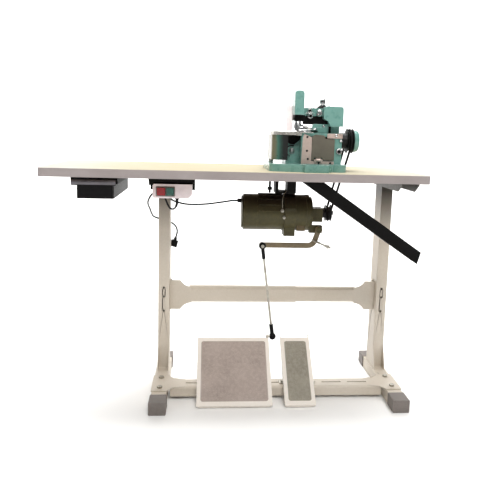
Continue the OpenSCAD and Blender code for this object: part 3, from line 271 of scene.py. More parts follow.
FINISHES = {
    "edge_band": dict(
        colour=(158, 149, 147), dark=(144, 135, 133), rough=(0.5, 0.64), grain=45, patch=9,
        wear=(214, 205, 196), edge=0.0012, streak=(0.5, 0.5, 1.0), bump=0.0001),
    # Legs and brackets: the height band is painted shade, darker up towards the table, for the table's shadow.
    "stand_paint": dict(
        colour=(206, 197, 184), dark=(194, 183, 167), rough=(0.42, 0.56), grain=130,
        patch=4, wear=(150, 138, 120), edge=0.0012, bump=0.00012, dust=0.15, painted_shade=(0.55,
        0.71, (50, 43, 32))),
    "grey_cap": dict(
        colour=(124, 116, 111), dark=(104, 97, 92), rough=(0.5, 0.66), grain=220, patch=14,
        wear=(150, 143, 137), edge=0.001, bump=0.0002),
    "zinc_steel": dict(
        colour=(190, 186, 176), dark=(132, 126, 114), rough=(0.28, 0.5), metal=0.85,
        grain=120, patch=40, bump=0.00008),
    "treadle_paint": dict(
        colour=(242, 235, 227), dark=(232, 224, 213), rough=(0.36, 0.5), grain=130, patch=7,
        wear=(168, 156, 140), edge=0.0011, bump=0.0001, dust=0.1),
    "mat_rubber_pink": dict(
        colour=(188, 174, 166), dark=(160, 146, 138), rough=(0.66, 0.82), grain=260,
        patch=12, wear=(204, 192, 184), edge=0.0006, bump=0.00015),
    "mat_rubber_olive": dict(
        colour=(166, 160, 147), dark=(136, 131, 118), rough=(0.66, 0.82), grain=260,
        patch=12, wear=(186, 178, 164), edge=0.0006, bump=0.00015),
    "black_plastic": dict(
        colour=(12, 11, 12), dark=(6, 5, 6), rough=(0.4, 0.58), spec=0.15, grain=240,
        patch=20, wear=(48, 46, 46), edge=0.0007, bump=0.0001),
    "black_paint": dict(
        colour=(11, 10, 9), dark=(6, 5, 5), rough=(0.48, 0.66), spec=0.12, grain=150,
        patch=12, wear=(52, 46, 38), edge=0.0007, bump=0.00012),
    "lever_paint": dict(
        colour=(128, 113, 86), dark=(98, 86, 62), rough=(0.42, 0.6), grain=110, patch=22,
        wear=(176, 164, 140), edge=0.0014, bump=0.0003),
    # Motor: the height band is painted shade, the top of the housing darkened for the table's shadow.
    "olive_paint": dict(
        colour=(82, 77, 46), dark=(58, 53, 31), rough=(0.42, 0.58), grain=95, patch=9,
        wear=(116, 110, 78), edge=0.001, bump=0.0002, spec=0.3, painted_shade=(0.622, 0.668, (20, 11,
        8))),
    "steel": dict(
        colour=(176, 176, 176), dark=(120, 120, 122), rough=(0.22, 0.42), metal=1.0,
        grain=160, patch=30, bump=0.00006, streak=(1, 1, 6)),
    "chrome": dict(
        colour=(232, 232, 230), dark=(186, 186, 188), rough=(0.08, 0.24), metal=1.0,
        grain=90, patch=60, bump=0.00003),
    "belt_rubber": dict(
        colour=(14, 13, 13), dark=(7, 6, 6), rough=(0.64, 0.8), spec=0.2, grain=300,
        patch=18, bump=0.00012),
    "cord_rubber": dict(
        colour=(13, 13, 14), dark=(7, 7, 8), rough=(0.4, 0.54), spec=0.25, grain=260,
        patch=25, bump=0.00006),
    "switch_shell": dict(
        colour=(230, 217, 218), dark=(212, 198, 200), rough=(0.28, 0.42), grain=70,
        patch=22, wear=(244, 238, 236), edge=0.001, bump=0.00008, coat=0.2),
    "red_button": dict(
        colour=(160, 18, 26), dark=(118, 8, 14), rough=(0.16, 0.3), grain=60, patch=40,
        coat=0.5, bump=0.00004),
    "green_button": dict(
        colour=(40, 98, 84), dark=(22, 66, 58), rough=(0.16, 0.3), grain=60, patch=40,
        coat=0.5, bump=0.00004),
    "green_enamel": dict(
        colour=(126, 172, 163), dark=(101, 148, 139), rough=(0.22, 0.36), grain=38,
        patch=13, wear=(170, 206, 198), edge=0.0022, bump=0.0004, coat=0.45),
    "bare_plate": dict(
        colour=(212, 192, 182), dark=(184, 163, 153), rough=(0.32, 0.5), metal=0.35,
        grain=110, patch=24, wear=(236, 224, 216), edge=0.0008, bump=0.0001),
    "cover_paint": dict(
        colour=(105, 99, 87), dark=(93, 87, 75), rough=(0.4, 0.54), grain=110, patch=18,
        wear=(150, 143, 128), edge=0.0008, bump=0.0001),
    "polished_plate": dict(
        colour=(226, 223, 216), dark=(190, 187, 180), rough=(0.16, 0.34), metal=0.8,
        grain=70, patch=20, bump=0.00005, streak=(0.3, 3, 1)),
    "cast_iron_pulley": dict(
        colour=(18, 17, 17), dark=(8, 7, 7), rough=(0.4, 0.58), spec=0.3, grain=140,
        patch=30, wear=(92, 88, 82), edge=0.0009, bump=0.0003),
}


def make_materials():
    made = {"table_laminate": laminate().material}
    for slot, look in FINISHES.items():
        made[slot] = finish_of(slot, **look).material
    return made


materials = make_materials()
slot_of = {part["node"]: part["material_slot"] for part in frame["record"]["subparts"]}

# ---------------------------------------------------------------- CAD nodes: finish and edge rounding

EDGE_RADIUS = {
    "table_top": 0.0004, "table_edge_band": 0.0, "left_leg": 0.0022, "right_leg": 0.0022,
    "top_brackets": 0.001,
    "foot_caps": 0.0014, "middle_beam_left": 0.0009, "middle_beam_right": 0.0009, "lower_beam": 0.001,
    "motor_treadle": 0.0009, "lifter_treadle": 0.0009, "machine_base": 0.0035, "machine_body": 0.0025,
    "arm_cover": 0.003, "face_cover": 0.003, "clutch_lever": 0.0025, "waste_chute": 0.0006,
}
PLAIN_EDGE = 0.0006
SHARP_ANGLE = math.radians(32)


def round_edges(piece, width, segments=3):
    weld = piece.modifiers.new("weld", "WELD")
    weld.merge_threshold = 1e-5
    if width:
        bevel = piece.modifiers.new("bevel", "BEVEL")
        bevel.width, bevel.segments = width, segments
        bevel.limit_method, bevel.angle_limit = "ANGLE", SHARP_ANGLE
        bevel.use_clamp_overlap = True
        bevel.harden_normals = False
    normals = piece.modifiers.new("normals", "WEIGHTED_NORMAL")
    normals.keep_sharp = False
    normals.weight = 90


def dress_cad_nodes():
    """Materials and rounded edges on the CAD nodes."""
    for name, node in nodes.items():
        for holder in node.material_slots:
            holder.material = materials[slot_of[name]]
        round_edges(node, EDGE_RADIUS.get(name, PLAIN_EDGE))


# ---------------------------------------------------------------- cords

LEAD_D = 0.006
MOTOR_LEAD = [
    (-0.232, -0.102, 0.700), (-0.232, -0.094, 0.700), (-0.230, -0.085, 0.697), (-0.226, -0.077, 0.690),
    (-0.220, -0.070, 0.681), (-0.211, -0.063, 0.673), (-0.199, -0.056, 0.666), (-0.184, -0.048, 0.661),
    (-0.167, -0.040, 0.657), (-0.148, -0.031, 0.655), (-0.127, -0.021, 0.654), (-0.105, -0.010, 0.654),
    (-0.083, 0.001, 0.655), (-0.061, 0.013, 0.657), (-0.039, 0.025, 0.659), (-0.019, 0.036, 0.661),
    (-0.010, 0.042, 0.662), (-0.001, 0.046, 0.662), (0.008, 0.048, 0.662), (0.017, 0.048, 0.662)]
MAINS_LEAD = [
    (-0.191, -0.148, 0.682), (-0.191, -0.148, 0.676), (-0.193, -0.146, 0.665), (-0.199, -0.138, 0.655),
    (-0.207, -0.128, 0.651), (-0.216, -0.117, 0.654), (-0.222, -0.109, 0.662), (-0.227, -0.102, 0.672),
    (-0.232, -0.097, 0.682), (-0.238, -0.093, 0.691), (-0.247, -0.090, 0.698), (-0.258, -0.086, 0.700),
    (-0.269, -0.081, 0.697), (-0.278, -0.074, 0.689), (-0.285, -0.063, 0.678), (-0.290, -0.048, 0.668),
    (-0.293, -0.030, 0.659), (-0.294, -0.009, 0.649), (-0.294, 0.014, 0.640), (-0.293, 0.036, 0.630),
    (-0.292, 0.058, 0.620), (-0.292, 0.080, 0.610), (-0.291, 0.103, 0.601), (-0.291, 0.122, 0.594),
    (-0.287, 0.138, 0.587), (-0.277, 0.149, 0.581), (-0.263, 0.155, 0.576), (-0.246, 0.156, 0.571),
    (-0.231, 0.157, 0.566), (-0.219, 0.157, 0.559), (-0.210, 0.157, 0.550), (-0.205, 0.157, 0.539),
    (-0.204, 0.157, 0.528), (-0.206, 0.157, 0.518), (-0.209, 0.157, 0.508)]


def cord_piece(name, points, diameter, material):
    curve = bpy.data.curves.new(name, "CURVE")
    curve.dimensions = "3D"
    curve.resolution_u, curve.bevel_resolution, curve.bevel_depth = 6, 5, diameter / 2
    curve.use_fill_caps = True
    spline = curve.splines.new("BEZIER")
    spline.bezier_points.add(len(points) - 1)
    for knot, place in zip(spline.bezier_points, points):
        knot.co = place
        knot.handle_left_type = knot.handle_right_type = "AUTO"
    piece = bpy.data.objects.new(name, curve)
    curve.materials.append(material)
    bpy.context.scene.collection.objects.link(piece)
    return piece


def lay_cord(name, node, points):
    """Cord that stands for a CAD node and rides on the stand."""
    cord = cord_piece(name, points, LEAD_D, materials["cord_rubber"])
    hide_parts(node)
    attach(cord, "stand")


def make_cords():
    boot = cord_boot("mains_boot", MAINS_LEAD, length=24, start=5.2, end=3.5)
    lay_cord("motor_lead_cord", "motor_lead", MOTOR_LEAD)
    lay_cord("mains_lead_cord", "mains_lead", MAINS_LEAD)


# ---------------------------------------------------------------- mesh helpers, in millimetres

MM = 0.001


def box_mm(node):
    """Low and high corner of a CAD node's box, in millimetres."""
    return [[v / MM for v in corner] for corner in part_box(node)]


def on_axis(axis, a, b, depth):
    """A point from its two outline coordinates and its depth along the axis."""
    return {"x": (depth, a, b), "y": (a, depth, b), "z": (a, b, depth)}[axis]


def arc(centre, radius, start, end, steps=8):
    """Points of an arc, angles in degrees."""
    turn = [math.radians(start + (end - start) * k / steps) for k in range(steps + 1)]
    return [(centre[0] + radius * math.cos(t), centre[1] + radius * math.sin(t)) for t in turn]


def rounded(low, high, radii, steps=6):
    """Rectangle with rounded corners; radii run from the lower left corner, anticlockwise."""
    corners = [(low[0], low[1], 1, 1, 180), (high[0], low[1], -1, 1, 270),
               (high[0], high[1], -1, -1, 0), (low[0], high[1], 1, -1, 90)]
    outline = []
    for (a, b, sa, sb, angle), r in zip(corners, radii):
        outline += arc((a + sa * r, b + sb * r), r, angle, angle + 90, steps)
    return outline


def wall(bm, first, second):
    """Faces between two closed rings of vertices."""
    for k in range(len(first)):
        bm.faces.new((first[k - 1], first[k], second[k], second[k - 1]))


def prism(bm, axis, outline, span):
    """Solid with the same outline all along the axis, from span[0] to span[1]."""
    first, second = [[bm.verts.new(on_axis(axis, a, b, d)) for a, b in outline] for d in span]
    bm.faces.new(first)
    bm.faces.new(second)
    wall(bm, first, second)


def cup(bm, axis, outer, inner, span, floor):
    """Prism with a pocket of the same number of corners that goes in from span[0] to floor."""
    rim, back = [[bm.verts.new(on_axis(axis, a, b, d)) for a, b in outer] for d in span]
    mouth, bottom = [[bm.verts.new(on_axis(axis, a, b, d)) for a, b in inner] for d in (span[0], floor)]
    wall(bm, rim, back)
    wall(bm, rim, mouth)
    wall(bm, mouth, bottom)
    bm.faces.new(bottom)
    bm.faces.new(back)


def lathe(bm, axis, centre, profile, segments=48):
    """Solid of revolution; profile holds (radius, depth) and meets the axis twice or closes as a ring."""
    solid = profile[0][0] == 0
    rows = []
    for radius, depth in profile:
        if radius == 0:
            rows.append([bm.verts.new(on_axis(axis, *centre, depth))] * segments)
        else:
            rows.append([bm.verts.new(on_axis(axis, a, b, depth))
                         for a, b in arc(centre, radius, 0, 360, segments)[:-1]])
    pairs = list(zip(rows, rows[1:])) + ([] if solid else [(rows[-1], rows[0])])
    for one, two in pairs:
        for k in range(segments):
            corners = dict.fromkeys((one[k - 1], one[k], two[k], two[k - 1]))
            bm.faces.new(list(corners))


def sweep(bm, points, radii, sides=14):
    """Tube along points, with a radius for each."""
    points = [Vector(p) for p in points]
    side = None
    rings = []
    for k, (point, radius) in enumerate(zip(points, radii)):
        ahead = (points[min(k + 1, len(points) - 1)] - points[max(k - 1, 0)]).normalized()
        if side is None:
            side = ahead.cross(Vector((0, 1, 0)) if abs(ahead.y) < 0.9 else Vector((1, 0, 0)))
        side = (side - ahead * side.dot(ahead)).normalized()
        other = ahead.cross(side)
        rings.append([bm.verts.new(point + radius * (math.cos(t) * side + math.sin(t) * other))
                      for t in [math.tau * n / sides for n in range(sides)]])
    for one, two in zip(rings, rings[1:]):
        wall(bm, one, two)
    bm.faces.new(rings[0])
    bm.faces.new(rings[-1])


def smooth_path(points, steps=8):
    """Catmull-Rom curve through points."""
    points = [Vector(p) for p in points]
    ends = [2 * points[0] - points[1]] + points + [2 * points[-1] - points[-2]]
    path = []
    for p0, p1, p2, p3 in zip(ends, ends[1:], ends[2:], ends[3:]):
        for t in [k / steps for k in range(steps)]:
            path.append(0.5 * (2 * p1 + (p2 - p0) * t + (2 * p0 - 5 * p1 + 4 * p2 - p3) * t * t
                               + (3 * p1 - p0 - 3 * p2 + p3) * t ** 3))
    return path + [points[-1]]


def finish_piece(name, bm, slot, body, bevel=0.6, segments=3, material=None, stands_for=()):
    """Turn a mesh drawn in millimetres into a piece that rides on a body."""
    bmesh.ops.recalc_face_normals(bm, faces=bm.faces)
    bmesh.ops.scale(bm, vec=(MM, MM, MM), verts=bm.verts)
    mesh = bpy.data.meshes.new(name)
    bm.to_mesh(mesh)
    bm.free()
    mesh.shade_smooth()
    mesh.materials.append(material or materials[slot])
    piece = bpy.data.objects.new(name, mesh)
    bpy.context.scene.collection.objects.link(piece)
    if bevel:
        round_edges(piece, bevel * MM, segments)
    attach(piece, body)
    if stands_for:
        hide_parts(*stands_for)
    return piece


def screw_head(bm, axis, centre, radius, span):
    """Low domed screw head that stands from span[0] to span[1], the second its top."""
    rise = span[1] - span[0]
    lathe(bm, axis, centre, [(0, span[0]), (radius, span[0]), (radius, span[0] + 0.55 * rise),
                             (0.8 * radius, span[0] + 0.85 * rise), (0.4 * radius, span[1]),
                             (0, span[1])], 24)


def slot_bar(bm, centre, length, depth, angle):
    """Dark slot of a screw that faces the operator, laid just proud of its head."""
    c, s = math.cos(math.radians(angle)), math.sin(math.radians(angle))
    half = length / 2
    outline = [(centre[0] + x * c - z * s, centre[1] + x * s + z * c)
               for x, z in ((-half, -0.55), (half, -0.55), (half, 0.55), (-half, 0.55))]
    prism(bm, "y", outline, (depth, depth + 0.6))


# ---------------------------------------------------------------- machine head

# axes of turned parts: (x, y) of the upright ones, (x, z) of those that face the operator
PRESSER_BAR = (190, -66)
TOP_TENSION = (280, -40)
FRONT_TENSION = (265, 968)
STITCH_KNOB = (327, 846)
PANEL_SCREW = (282, 926)
BOSS = (179, 843)


def face_cover():
    """Tall front cover, its gasket, the clear guard beside it and the needle bar's block."""
    low, high = box_mm("face_cover")
    left = high[0] - 30
    bm = bmesh.new()
    prism(bm, "y", rounded((left, 960), (high[0], high[2]), (2, 2, 10, 10)), (low[1], high[1]))
    finish_piece("face_cover_shell", bm, "green_enamel", "stand", 2.2, 4, stands_for=("face_cover",))
    bm = bmesh.new()
    prism(bm, "y", rounded((left + 1.5, 957.5), (high[0] - 1.5, 961), (1, 1, 1, 1)),
          (low[1] + 2, high[1] - 2))
    finish_piece("face_cover_gasket", bm, "black_plastic", "stand", 0.4)
    bm = bmesh.new()
    prism(bm, "y", rounded((low[0], low[2]), (left + 1, 990), (3, 1, 1, 7)), (-61, -59.4))
    finish_piece("finger_guard", bm, "switch_shell", "stand", 0.3, material=clear_plastic())
    bm = bmesh.new()
    prism(bm, "y", rounded((179.3, 940.3), (214.7, 959.8), (6, 2, 1, 1)), (-93, -43.5))
    finish_piece("needle_bar_block", bm, "black_paint", "stand", 1.2)


def clear_plastic():
    """Slightly pink, hazy guard."""
    n = Nodes("clear_plastic")
    haze = n.noise(40, 3.0)
    n.link(n.mix(n.grey(haze, 0.35, 0.65), linear(236, 214, 214), linear(246, 232, 230)), "Base Color")
    n.link(n.grey(haze, 0.3, 0.7, 0.08, 0.22), "Roughness")
    n.shader.inputs["Alpha"].default_value = 0.5
    return n.material


def throat():
    """Black plate for the shade in the throat under the arm (painted shade), the green panel in it, a black bar
    for the shadow under the presser lever (painted shadow) and the presser lever in front.
    """
    # Black plate standing for the shade under the arm: painted shade.
    bm = bmesh.new()
    outline = [(212, 931), (299, 931), (299, 904.6), (307, 904.6), (307, 934)]
    outline += arc((281, 934), 24, 8, 90, 8) + [(212, 958)]
    prism(bm, "y", outline, (-64.5, -60.4))
    finish_piece("throat_painted_shade", bm, "black_paint", "stand", 0.8)
    bm = bmesh.new()
    prism(bm, "y", rounded((244, 921.4), (298.4, 933), (1, 1, 1, 6)), (-66, -60.4))
    prism(bm, "y", rounded((244, 904.6), (298.4, 922), (1, 1, 1, 1)), (-66, -60.4))
    finish_piece("throat_panel", bm, "green_enamel", "stand", 0.9)
    bm = bmesh.new()
    screw_head(bm, "y", PANEL_SCREW, 4.2, (-65.5, -69))
    finish_piece("throat_screw", bm, "chrome", "stand", 0.3)
    bm = bmesh.new()
    slot_bar(bm, PANEL_SCREW, 6.4, -69.2, 35)
    # Black bar under the presser lever: painted shadow.
    prism(bm, "y", rounded((207, 907.2), (262, 911.5), (1, 1, 1, 1)), (-72, -66.2))
    finish_piece("throat_slot_and_painted_shadow", bm, "black_paint", "stand", 0.2)
    path = smooth_path([(196, -68, 922), (206, -71, 926), (218, -73, 924), (232, -73, 917), (246, -72, 914),
                        (258, -70, 917)], 6)
    bm = bmesh.new()
    sweep(bm, path, [3.0] * (len(path) - 1) + [2.0], 14)
    lathe(bm, "z", PRESSER_BAR, [(0, 917), (6.6, 917), (6.6, 928), (5.2, 929.5), (0, 929.5)], 32)
    lathe(bm, "y", (216, 921), [(0, -78.5), (3.6, -78.5), (4.2, -77.5), (4.2, -74), (0, -74)], 24)
    finish_piece("presser_lever", bm, "chrome", "presser_foot", 0.5)


def thread_parts():
    """Eyelets on the arm with wire bows over them, the tension's seat, its discs and a wire guide across them.
    """
    bm, dark = bmesh.new(), bmesh.new()
    for x, z, r in ((233, 975, 6.6), (235, 958, 7.4)):
        lathe(bm, "y", (x, z), [(r, -74.2), (r, -76.4), (r - 1.2, -77.6), (r - 2.8, -76.4),
                                (r - 2.8, -74.2)], 32)
        lathe(dark, "y", (x, z), [(0, -74.1), (r - 2.7, -74.1), (r - 2.7, -75.2), (0, -75.2)], 24)
    for z, reach in ((984.6, 14), (966.5, 16)):
        loop = smooth_path([(233 - reach, -75, z - 3), (233 - reach / 2, -76.5, z + 1.5), (233, -76.5, z),
                            (233 + reach / 2, -76.5, z + 1.5), (233 + reach, -75, z - 2)], 6)
        sweep(bm, loop, [1.1] * len(loop), 10)
    finish_piece("thread_eyelets", bm, "chrome", "stand", 0.25)
    seat = 984
    lathe(dark, "z", TOP_TENSION, [(0, seat + 0.2), (18.6, seat + 0.2), (18.6, seat + 1.5),
                                   (13.4, seat + 7.5), (9.5, seat + 9), (0, seat + 9)], 40)
    finish_piece("tension_seat", dark, "black_paint", "stand", 0.4)
    bm = bmesh.new()
    for z in (seat + 9.2, seat + 11.4):
        lathe(bm, "z", TOP_TENSION, [(3.4, z), (11.6, z + 0.9), (11.6, z + 1.6), (3.4, z + 0.8)], 40)
    wing = smooth_path([(256, -44, seat + 7), (262, -46, seat + 11), (272, -47, seat + 10.4),
                        (288, -47, seat + 10.4), (298, -46, seat + 11), (304, -44, seat + 8)], 6)
    sweep(bm, wing, [1.0] * len(wing), 10)
    finish_piece("tension_discs", bm, "chrome", "stand", 0.2)


def tension_knobs():
    """Chrome knobs of the two tensions and of the stitch length."""
    low, high = box_mm("top_tension_knob")
    top, foot = high[2], high[2] - 18
    bm = bmesh.new()
    lathe(bm, "z", TOP_TENSION, [
        (0, foot), (7.5, foot), (9.6, foot + 1.4), (9.8, foot + 5.6), (8.4, foot + 6.6), (8.4, foot + 9.6),
        (9.4, foot + 10.6), (9.0, foot + 14.5), (6.4, foot + 17.4), (2.6, top - 0.2), (2.2, top - 1.4),
        (0, top - 1.4)])
    for k in range(16):
        t = math.tau * k / 16
        x, y = TOP_TENSION[0] + 9.7 * math.cos(t), TOP_TENSION[1] + 9.7 * math.sin(t)
        lathe(bm, "z", (x, y), [(0, foot + 1.6), (0.6, foot + 1.6), (0.6, foot + 5.2), (0, foot + 5.2)], 8)
    finish_piece("top_tension_cap", bm, "chrome", "top_tension_knob", 0.3, stands_for=("top_tension_knob",))
    bm = bmesh.new()
    lathe(bm, "z", TOP_TENSION, [(0, foot + 6.9), (9.1, foot + 6.9), (9.1, foot + 9.3), (0, foot + 9.3)], 40)
    finish_piece("top_tension_ring", bm, "black_plastic", "top_tension_knob", 0.3)
    low, high = box_mm("front_tension_dial")
    face = low[1]
    bm = bmesh.new()
    lathe(bm, "y", FRONT_TENSION, [
        (0, high[1]), (3, high[1]), (3, face + 14), (10.8, face + 14), (11, face + 12), (11, face + 8),
        (9.2, face + 6.4), (8, face + 5), (8, face + 1.2), (6.6, face + 0.2), (0, face + 0.9)])
    for k in range(20):
        t = math.tau * k / 20
        x, z = FRONT_TENSION[0] + 10.9 * math.cos(t), FRONT_TENSION[1] + 10.9 * math.sin(t)
        lathe(bm, "y", (x, z), [(0, face + 8.6), (0.6, face + 8.6), (0.6, face + 11.8), (0, face + 11.8)], 8)
    finish_piece("front_tension_cap", bm, "chrome", "front_tension_dial", 0.3,
                 stands_for=("front_tension_dial",))
    low, high = box_mm("stitch_knob")
    face = low[1]
    bm = bmesh.new()
    lathe(bm, "y", STITCH_KNOB, [
        (0, face + 2.6), (4.8, face + 2.6), (5.4, face + 0.3), (8.8, face), (10, face + 1.4),
        (10, face + 5.2), (8.2, face + 6.6), (4, face + 6.6), (4, high[1]), (0, high[1])])
    finish_piece("stitch_knob_ring", bm, "chrome", "stitch_knob", 0.3, stands_for=("stitch_knob",))
    bm = bmesh.new()
    lathe(bm, "y", STITCH_KNOB, [(0, face + 1.9), (4.7, face + 1.9), (4.7, face + 2.9), (0, face + 2.9)], 32)
    prism(bm, "y", rounded((325.9, 852.6), (328.1, 855.4), (0.4,) * 4, 2), (face - 0.1, face + 1.2))
    finish_piece("stitch_knob_centre", bm, "black_plastic", "stitch_knob", 0.2)


def looper_side():
    """Upper strip of the bare plate, screws of plate and base, and black sheets under the cloth plate: painted
    shade in the gap and a painted shadow round the boss.
    """
    face = -110.0
    bm = bmesh.new()
    outline = [(287, 887.4), (337, 887.4), (337, 902.4), (291, 902.4)] + arc((291, 898.4), 4, 90, 180, 4)
    prism(bm, "y", outline, (face, -106.3))
    finish_piece("side_plate_strip", bm, "bare_plate", "stand", 0.5)
    heads, slots = bmesh.new(), bmesh.new()
    for x, z, angle in ((222, 890, 20), (222, 846, 75), (226, 820, 110), (262, 808, 0), (300, 808, 50)):
        screw_head(heads, "y", (x, z), 3.5, (face - 0.2, face - 2.4))
        slot_bar(slots, (x, z), 5.4, face - 2.7, angle)
    finish_piece("side_plate_screws", heads, "cast_iron_pulley", "stand", 0.2)
    bm = bmesh.new()
    for x, z in ((316, 897), (332, 880)):
        screw_head(bm, "y", (x, z), 4.6, (face + 0.5, face - 4.2))
        slot_bar(slots, (x, z), 6.6, face - 4.5, 30 if x < 320 else 80)
    finish_piece("chrome_screws", bm, "chrome", "stand", 0.3)
    finish_piece("screw_slots", slots, "black_plastic", "stand", 0.1)
    bm = bmesh.new()
    lathe(bm, "x", (-113, 816), [(4.5, 252.6), (5.3, 253.4), (5.3, 266.6), (4.5, 267.4)], 32)
    finish_piece("hinge_sleeve", bm, "bare_plate", "front_cover", 0.2)
    bm = bmesh.new()
    # Black sheet for the shade in the gap and black crescent for the boss's shadow: painted shade.
    prism(bm, "y", [(159, 902), (159, 874), (172, 866), (186, 864), (204.6, 880), (204.6, 902)],
          (-66.4, -57.6))
    prism(bm, "y", arc((179, 843), 16, 48, 232, 16) + arc((180, 840), 22, 225, 70, 16), (-60, -57.8))
    finish_piece("looper_gap_painted_shade", bm, "black_paint", "stand", 0.6)
    bm = bmesh.new()
    screw_head(bm, "y", BOSS, 6, (-68.6, -72))
    lathe(bm, "y", BOSS, [(9.4, -65.8), (9.4, -69.6), (7.2, -70.2), (7.2, -65.8)], 32)
    finish_piece("boss_screw", bm, "steel", "stand", 0.4)


def cloth_shell():
    """Curved cover under the cloth plate."""
    low, high = box_mm("cloth_plate_shell")
    x0, y0, x1, y1 = low[0], low[1], high[0], high[1]
    outer = [(x0, y1)] + arc((x0 + 22, y0 + 22), 22, 180, 270, 14) + [(x1, y0)]
    inner = [(x1, y0 + 2.6)] + arc((x0 + 22, y0 + 22), 19.4, 270, 180, 14) + [(x0 + 2.6, y1)]
    bm = bmesh.new()
    prism(bm, "z", outer + inner, (low[2], high[2]))
    finish_piece("cloth_plate_cover", bm, "green_enamel", "cloth_plate", 0.7,
                 material=shaded_enamel(x0 * MM, x1 * MM), stands_for=("cloth_plate_shell",))


def shaded_enamel(x0, x1):
    """The head's enamel with painted shade: olive-brown at the left, darkening through green to near black
    towards the loopers under the cloth plate.
    """
    n = Nodes("enamel_painted_shade")
    along = n.add("ShaderNodeSeparateXYZ", {0: n.place}).outputs["X"]
    cloud = n.noise(38, 5.0, 0.6)
    spot = n.math("ADD", n.grey(along, x0, x1), n.math("MULTIPLY", n.math("SUBTRACT", cloud, 0.5), 0.22))
    # Painted shade along the cover, darkest towards the loopers.
    tint = n.ramp(spot, (0.0, linear(126, 120, 96)), (0.2, linear(104, 106, 84)), (0.36, linear(62, 108, 95)),
                  (0.56, linear(34, 62, 54)), (0.72, linear(14, 20, 18)), (1.0, linear(8, 10, 9)))
    n.link(tint, "Base Color")
    n.link(n.grey(cloud, 0.3, 0.7, 0.26, 0.4), "Roughness")
    n.link(n.bump(cloud, 0.0003), "Normal")
    n.shader.inputs["Coat Weight"].default_value = 0.3
    return n.material


def handwheel():
    """Belt pulley with its hub, and the rim that the hand turns."""
    low, high = box_mm("handwheel")
    y, z = (low[1] + high[1]) / 2, (low[2] + high[2]) / 2
    x0, x1 = low[0], high[0]
    pulley, wheel = x0 + 26, x1 - 18
    bm = bmesh.new()
    lathe(bm, "x", (y, z), [(0, x0), (21, x0), (26, x0 + 3), (26, pulley - 1), (40, pulley), (41, pulley + 1),
                            (33, pulley + 5), (32.4, pulley + 6.5), (32.4, pulley + 13.5), (33, pulley + 15),
                            (41, pulley + 19), (40, pulley + 20), (0, pulley + 20)], 72)
    finish_piece("handwheel_pulley", bm, "cast_iron_pulley", "main_shaft", 0.4, stands_for=("handwheel",))
    bm = bmesh.new()
    lathe(bm, "x", (y, z), [(0, wheel + 0.4), (35, wheel + 0.4), (36.9, wheel + 2.4), (36.4, wheel + 9),
                            (34.6, wheel + 15), (31.5, wheel + 17.8), (27, x1), (23, wheel + 15.5),
                            (15, wheel + 13.8), (13, wheel + 15.5), (11.5, x1), (0, x1)], 72)
    finish_piece("handwheel_rim", bm, "green_enamel", "main_shaft", 0.7, stands_for=("handwheel",))


# ---------------------------------------------------------------- motor and lever

def clutch_lever():
    """Bent strap with an eye at each end."""
    low, high = box_mm("clutch_lever")
    end, pivot = (97, 512), (295, 568)
    half = 9.5
    bend = arc((258, 538), 26, -90, -18, 14)
    path = [Vector(p) for p in [(end[0], end[1])] + bend + [pivot]]
    left, right = [], []
    for k, p in enumerate(path):
        ahead = (path[min(k + 1, len(path) - 1)] - path[max(k - 1, 0)]).normalized()
        side = Vector((-ahead.y, ahead.x)) * half
        left.append(tuple(p + side))
        right.append(tuple(p - side))
    bm = bmesh.new()
    prism(bm, "y", right + left[::-1], (low[1], high[1]))
    lathe(bm, "y", end, [(3.1, low[1] + 0.1), (10.8, low[1] + 0.1), (10.8, high[1] - 0.1),
                         (3.1, high[1] - 0.1)])
    lathe(bm, "y", pivot, [(6.4, low[1]), (12.8, low[1]), (12.8, high[1]), (6.4, high[1])])
    finish_piece("clutch_lever_arm", bm, "lever_paint", "clutch_lever", 2.4, 4, stands_for=("clutch_lever",))


def motor_trim():
    """Bolts and wire of the clamp band, and the motor's foot."""
    low, high = box_mm("motor_housing")
    centre = ((low[1] + high[1]) / 2, (low[2] + high[2]) / 2)
    radius = centre[1] - low[2]
    front = centre[0] - radius
    bm = bmesh.new()
    for x, z in ((163, 635), (171, 612)):
        lathe(bm, "y", (x, z), [(0, front + 6), (6.5, front + 6), (6.5, front - 2.4), (5.4, front - 3),
                                (3.4, front - 3), (3.4, front - 6), (0, front - 6.6)], 6 if x < 165 else 24)
    finish_piece("band_bolts", bm, "zinc_steel", "stand", 0.3)
    bm = bmesh.new()
    path = smooth_path([(176, front + 12, 700), (168, front + 4, 694), (163, front - 1, 680),
                        (162, front - 3, 660), (163, front - 2, 644)], 6)
    sweep(bm, path, [0.9] * len(path), 10)
    finish_piece("band_wire", bm, "zinc_steel", "stand", 0.0)
    bm = bmesh.new()
    foot = centre[1] - radius
    prism(bm, "x", [(centre[0] - 54, foot + 4), (centre[0] - 26, foot + 1), (centre[0] - 20, foot + 8),
                    (centre[0] - 48, foot + 24)], (217, 246))
    finish_piece("motor_foot", bm, "lever_paint", "stand", 1.6, 4)


# ---------------------------------------------------------------- switch box, cords and drawer

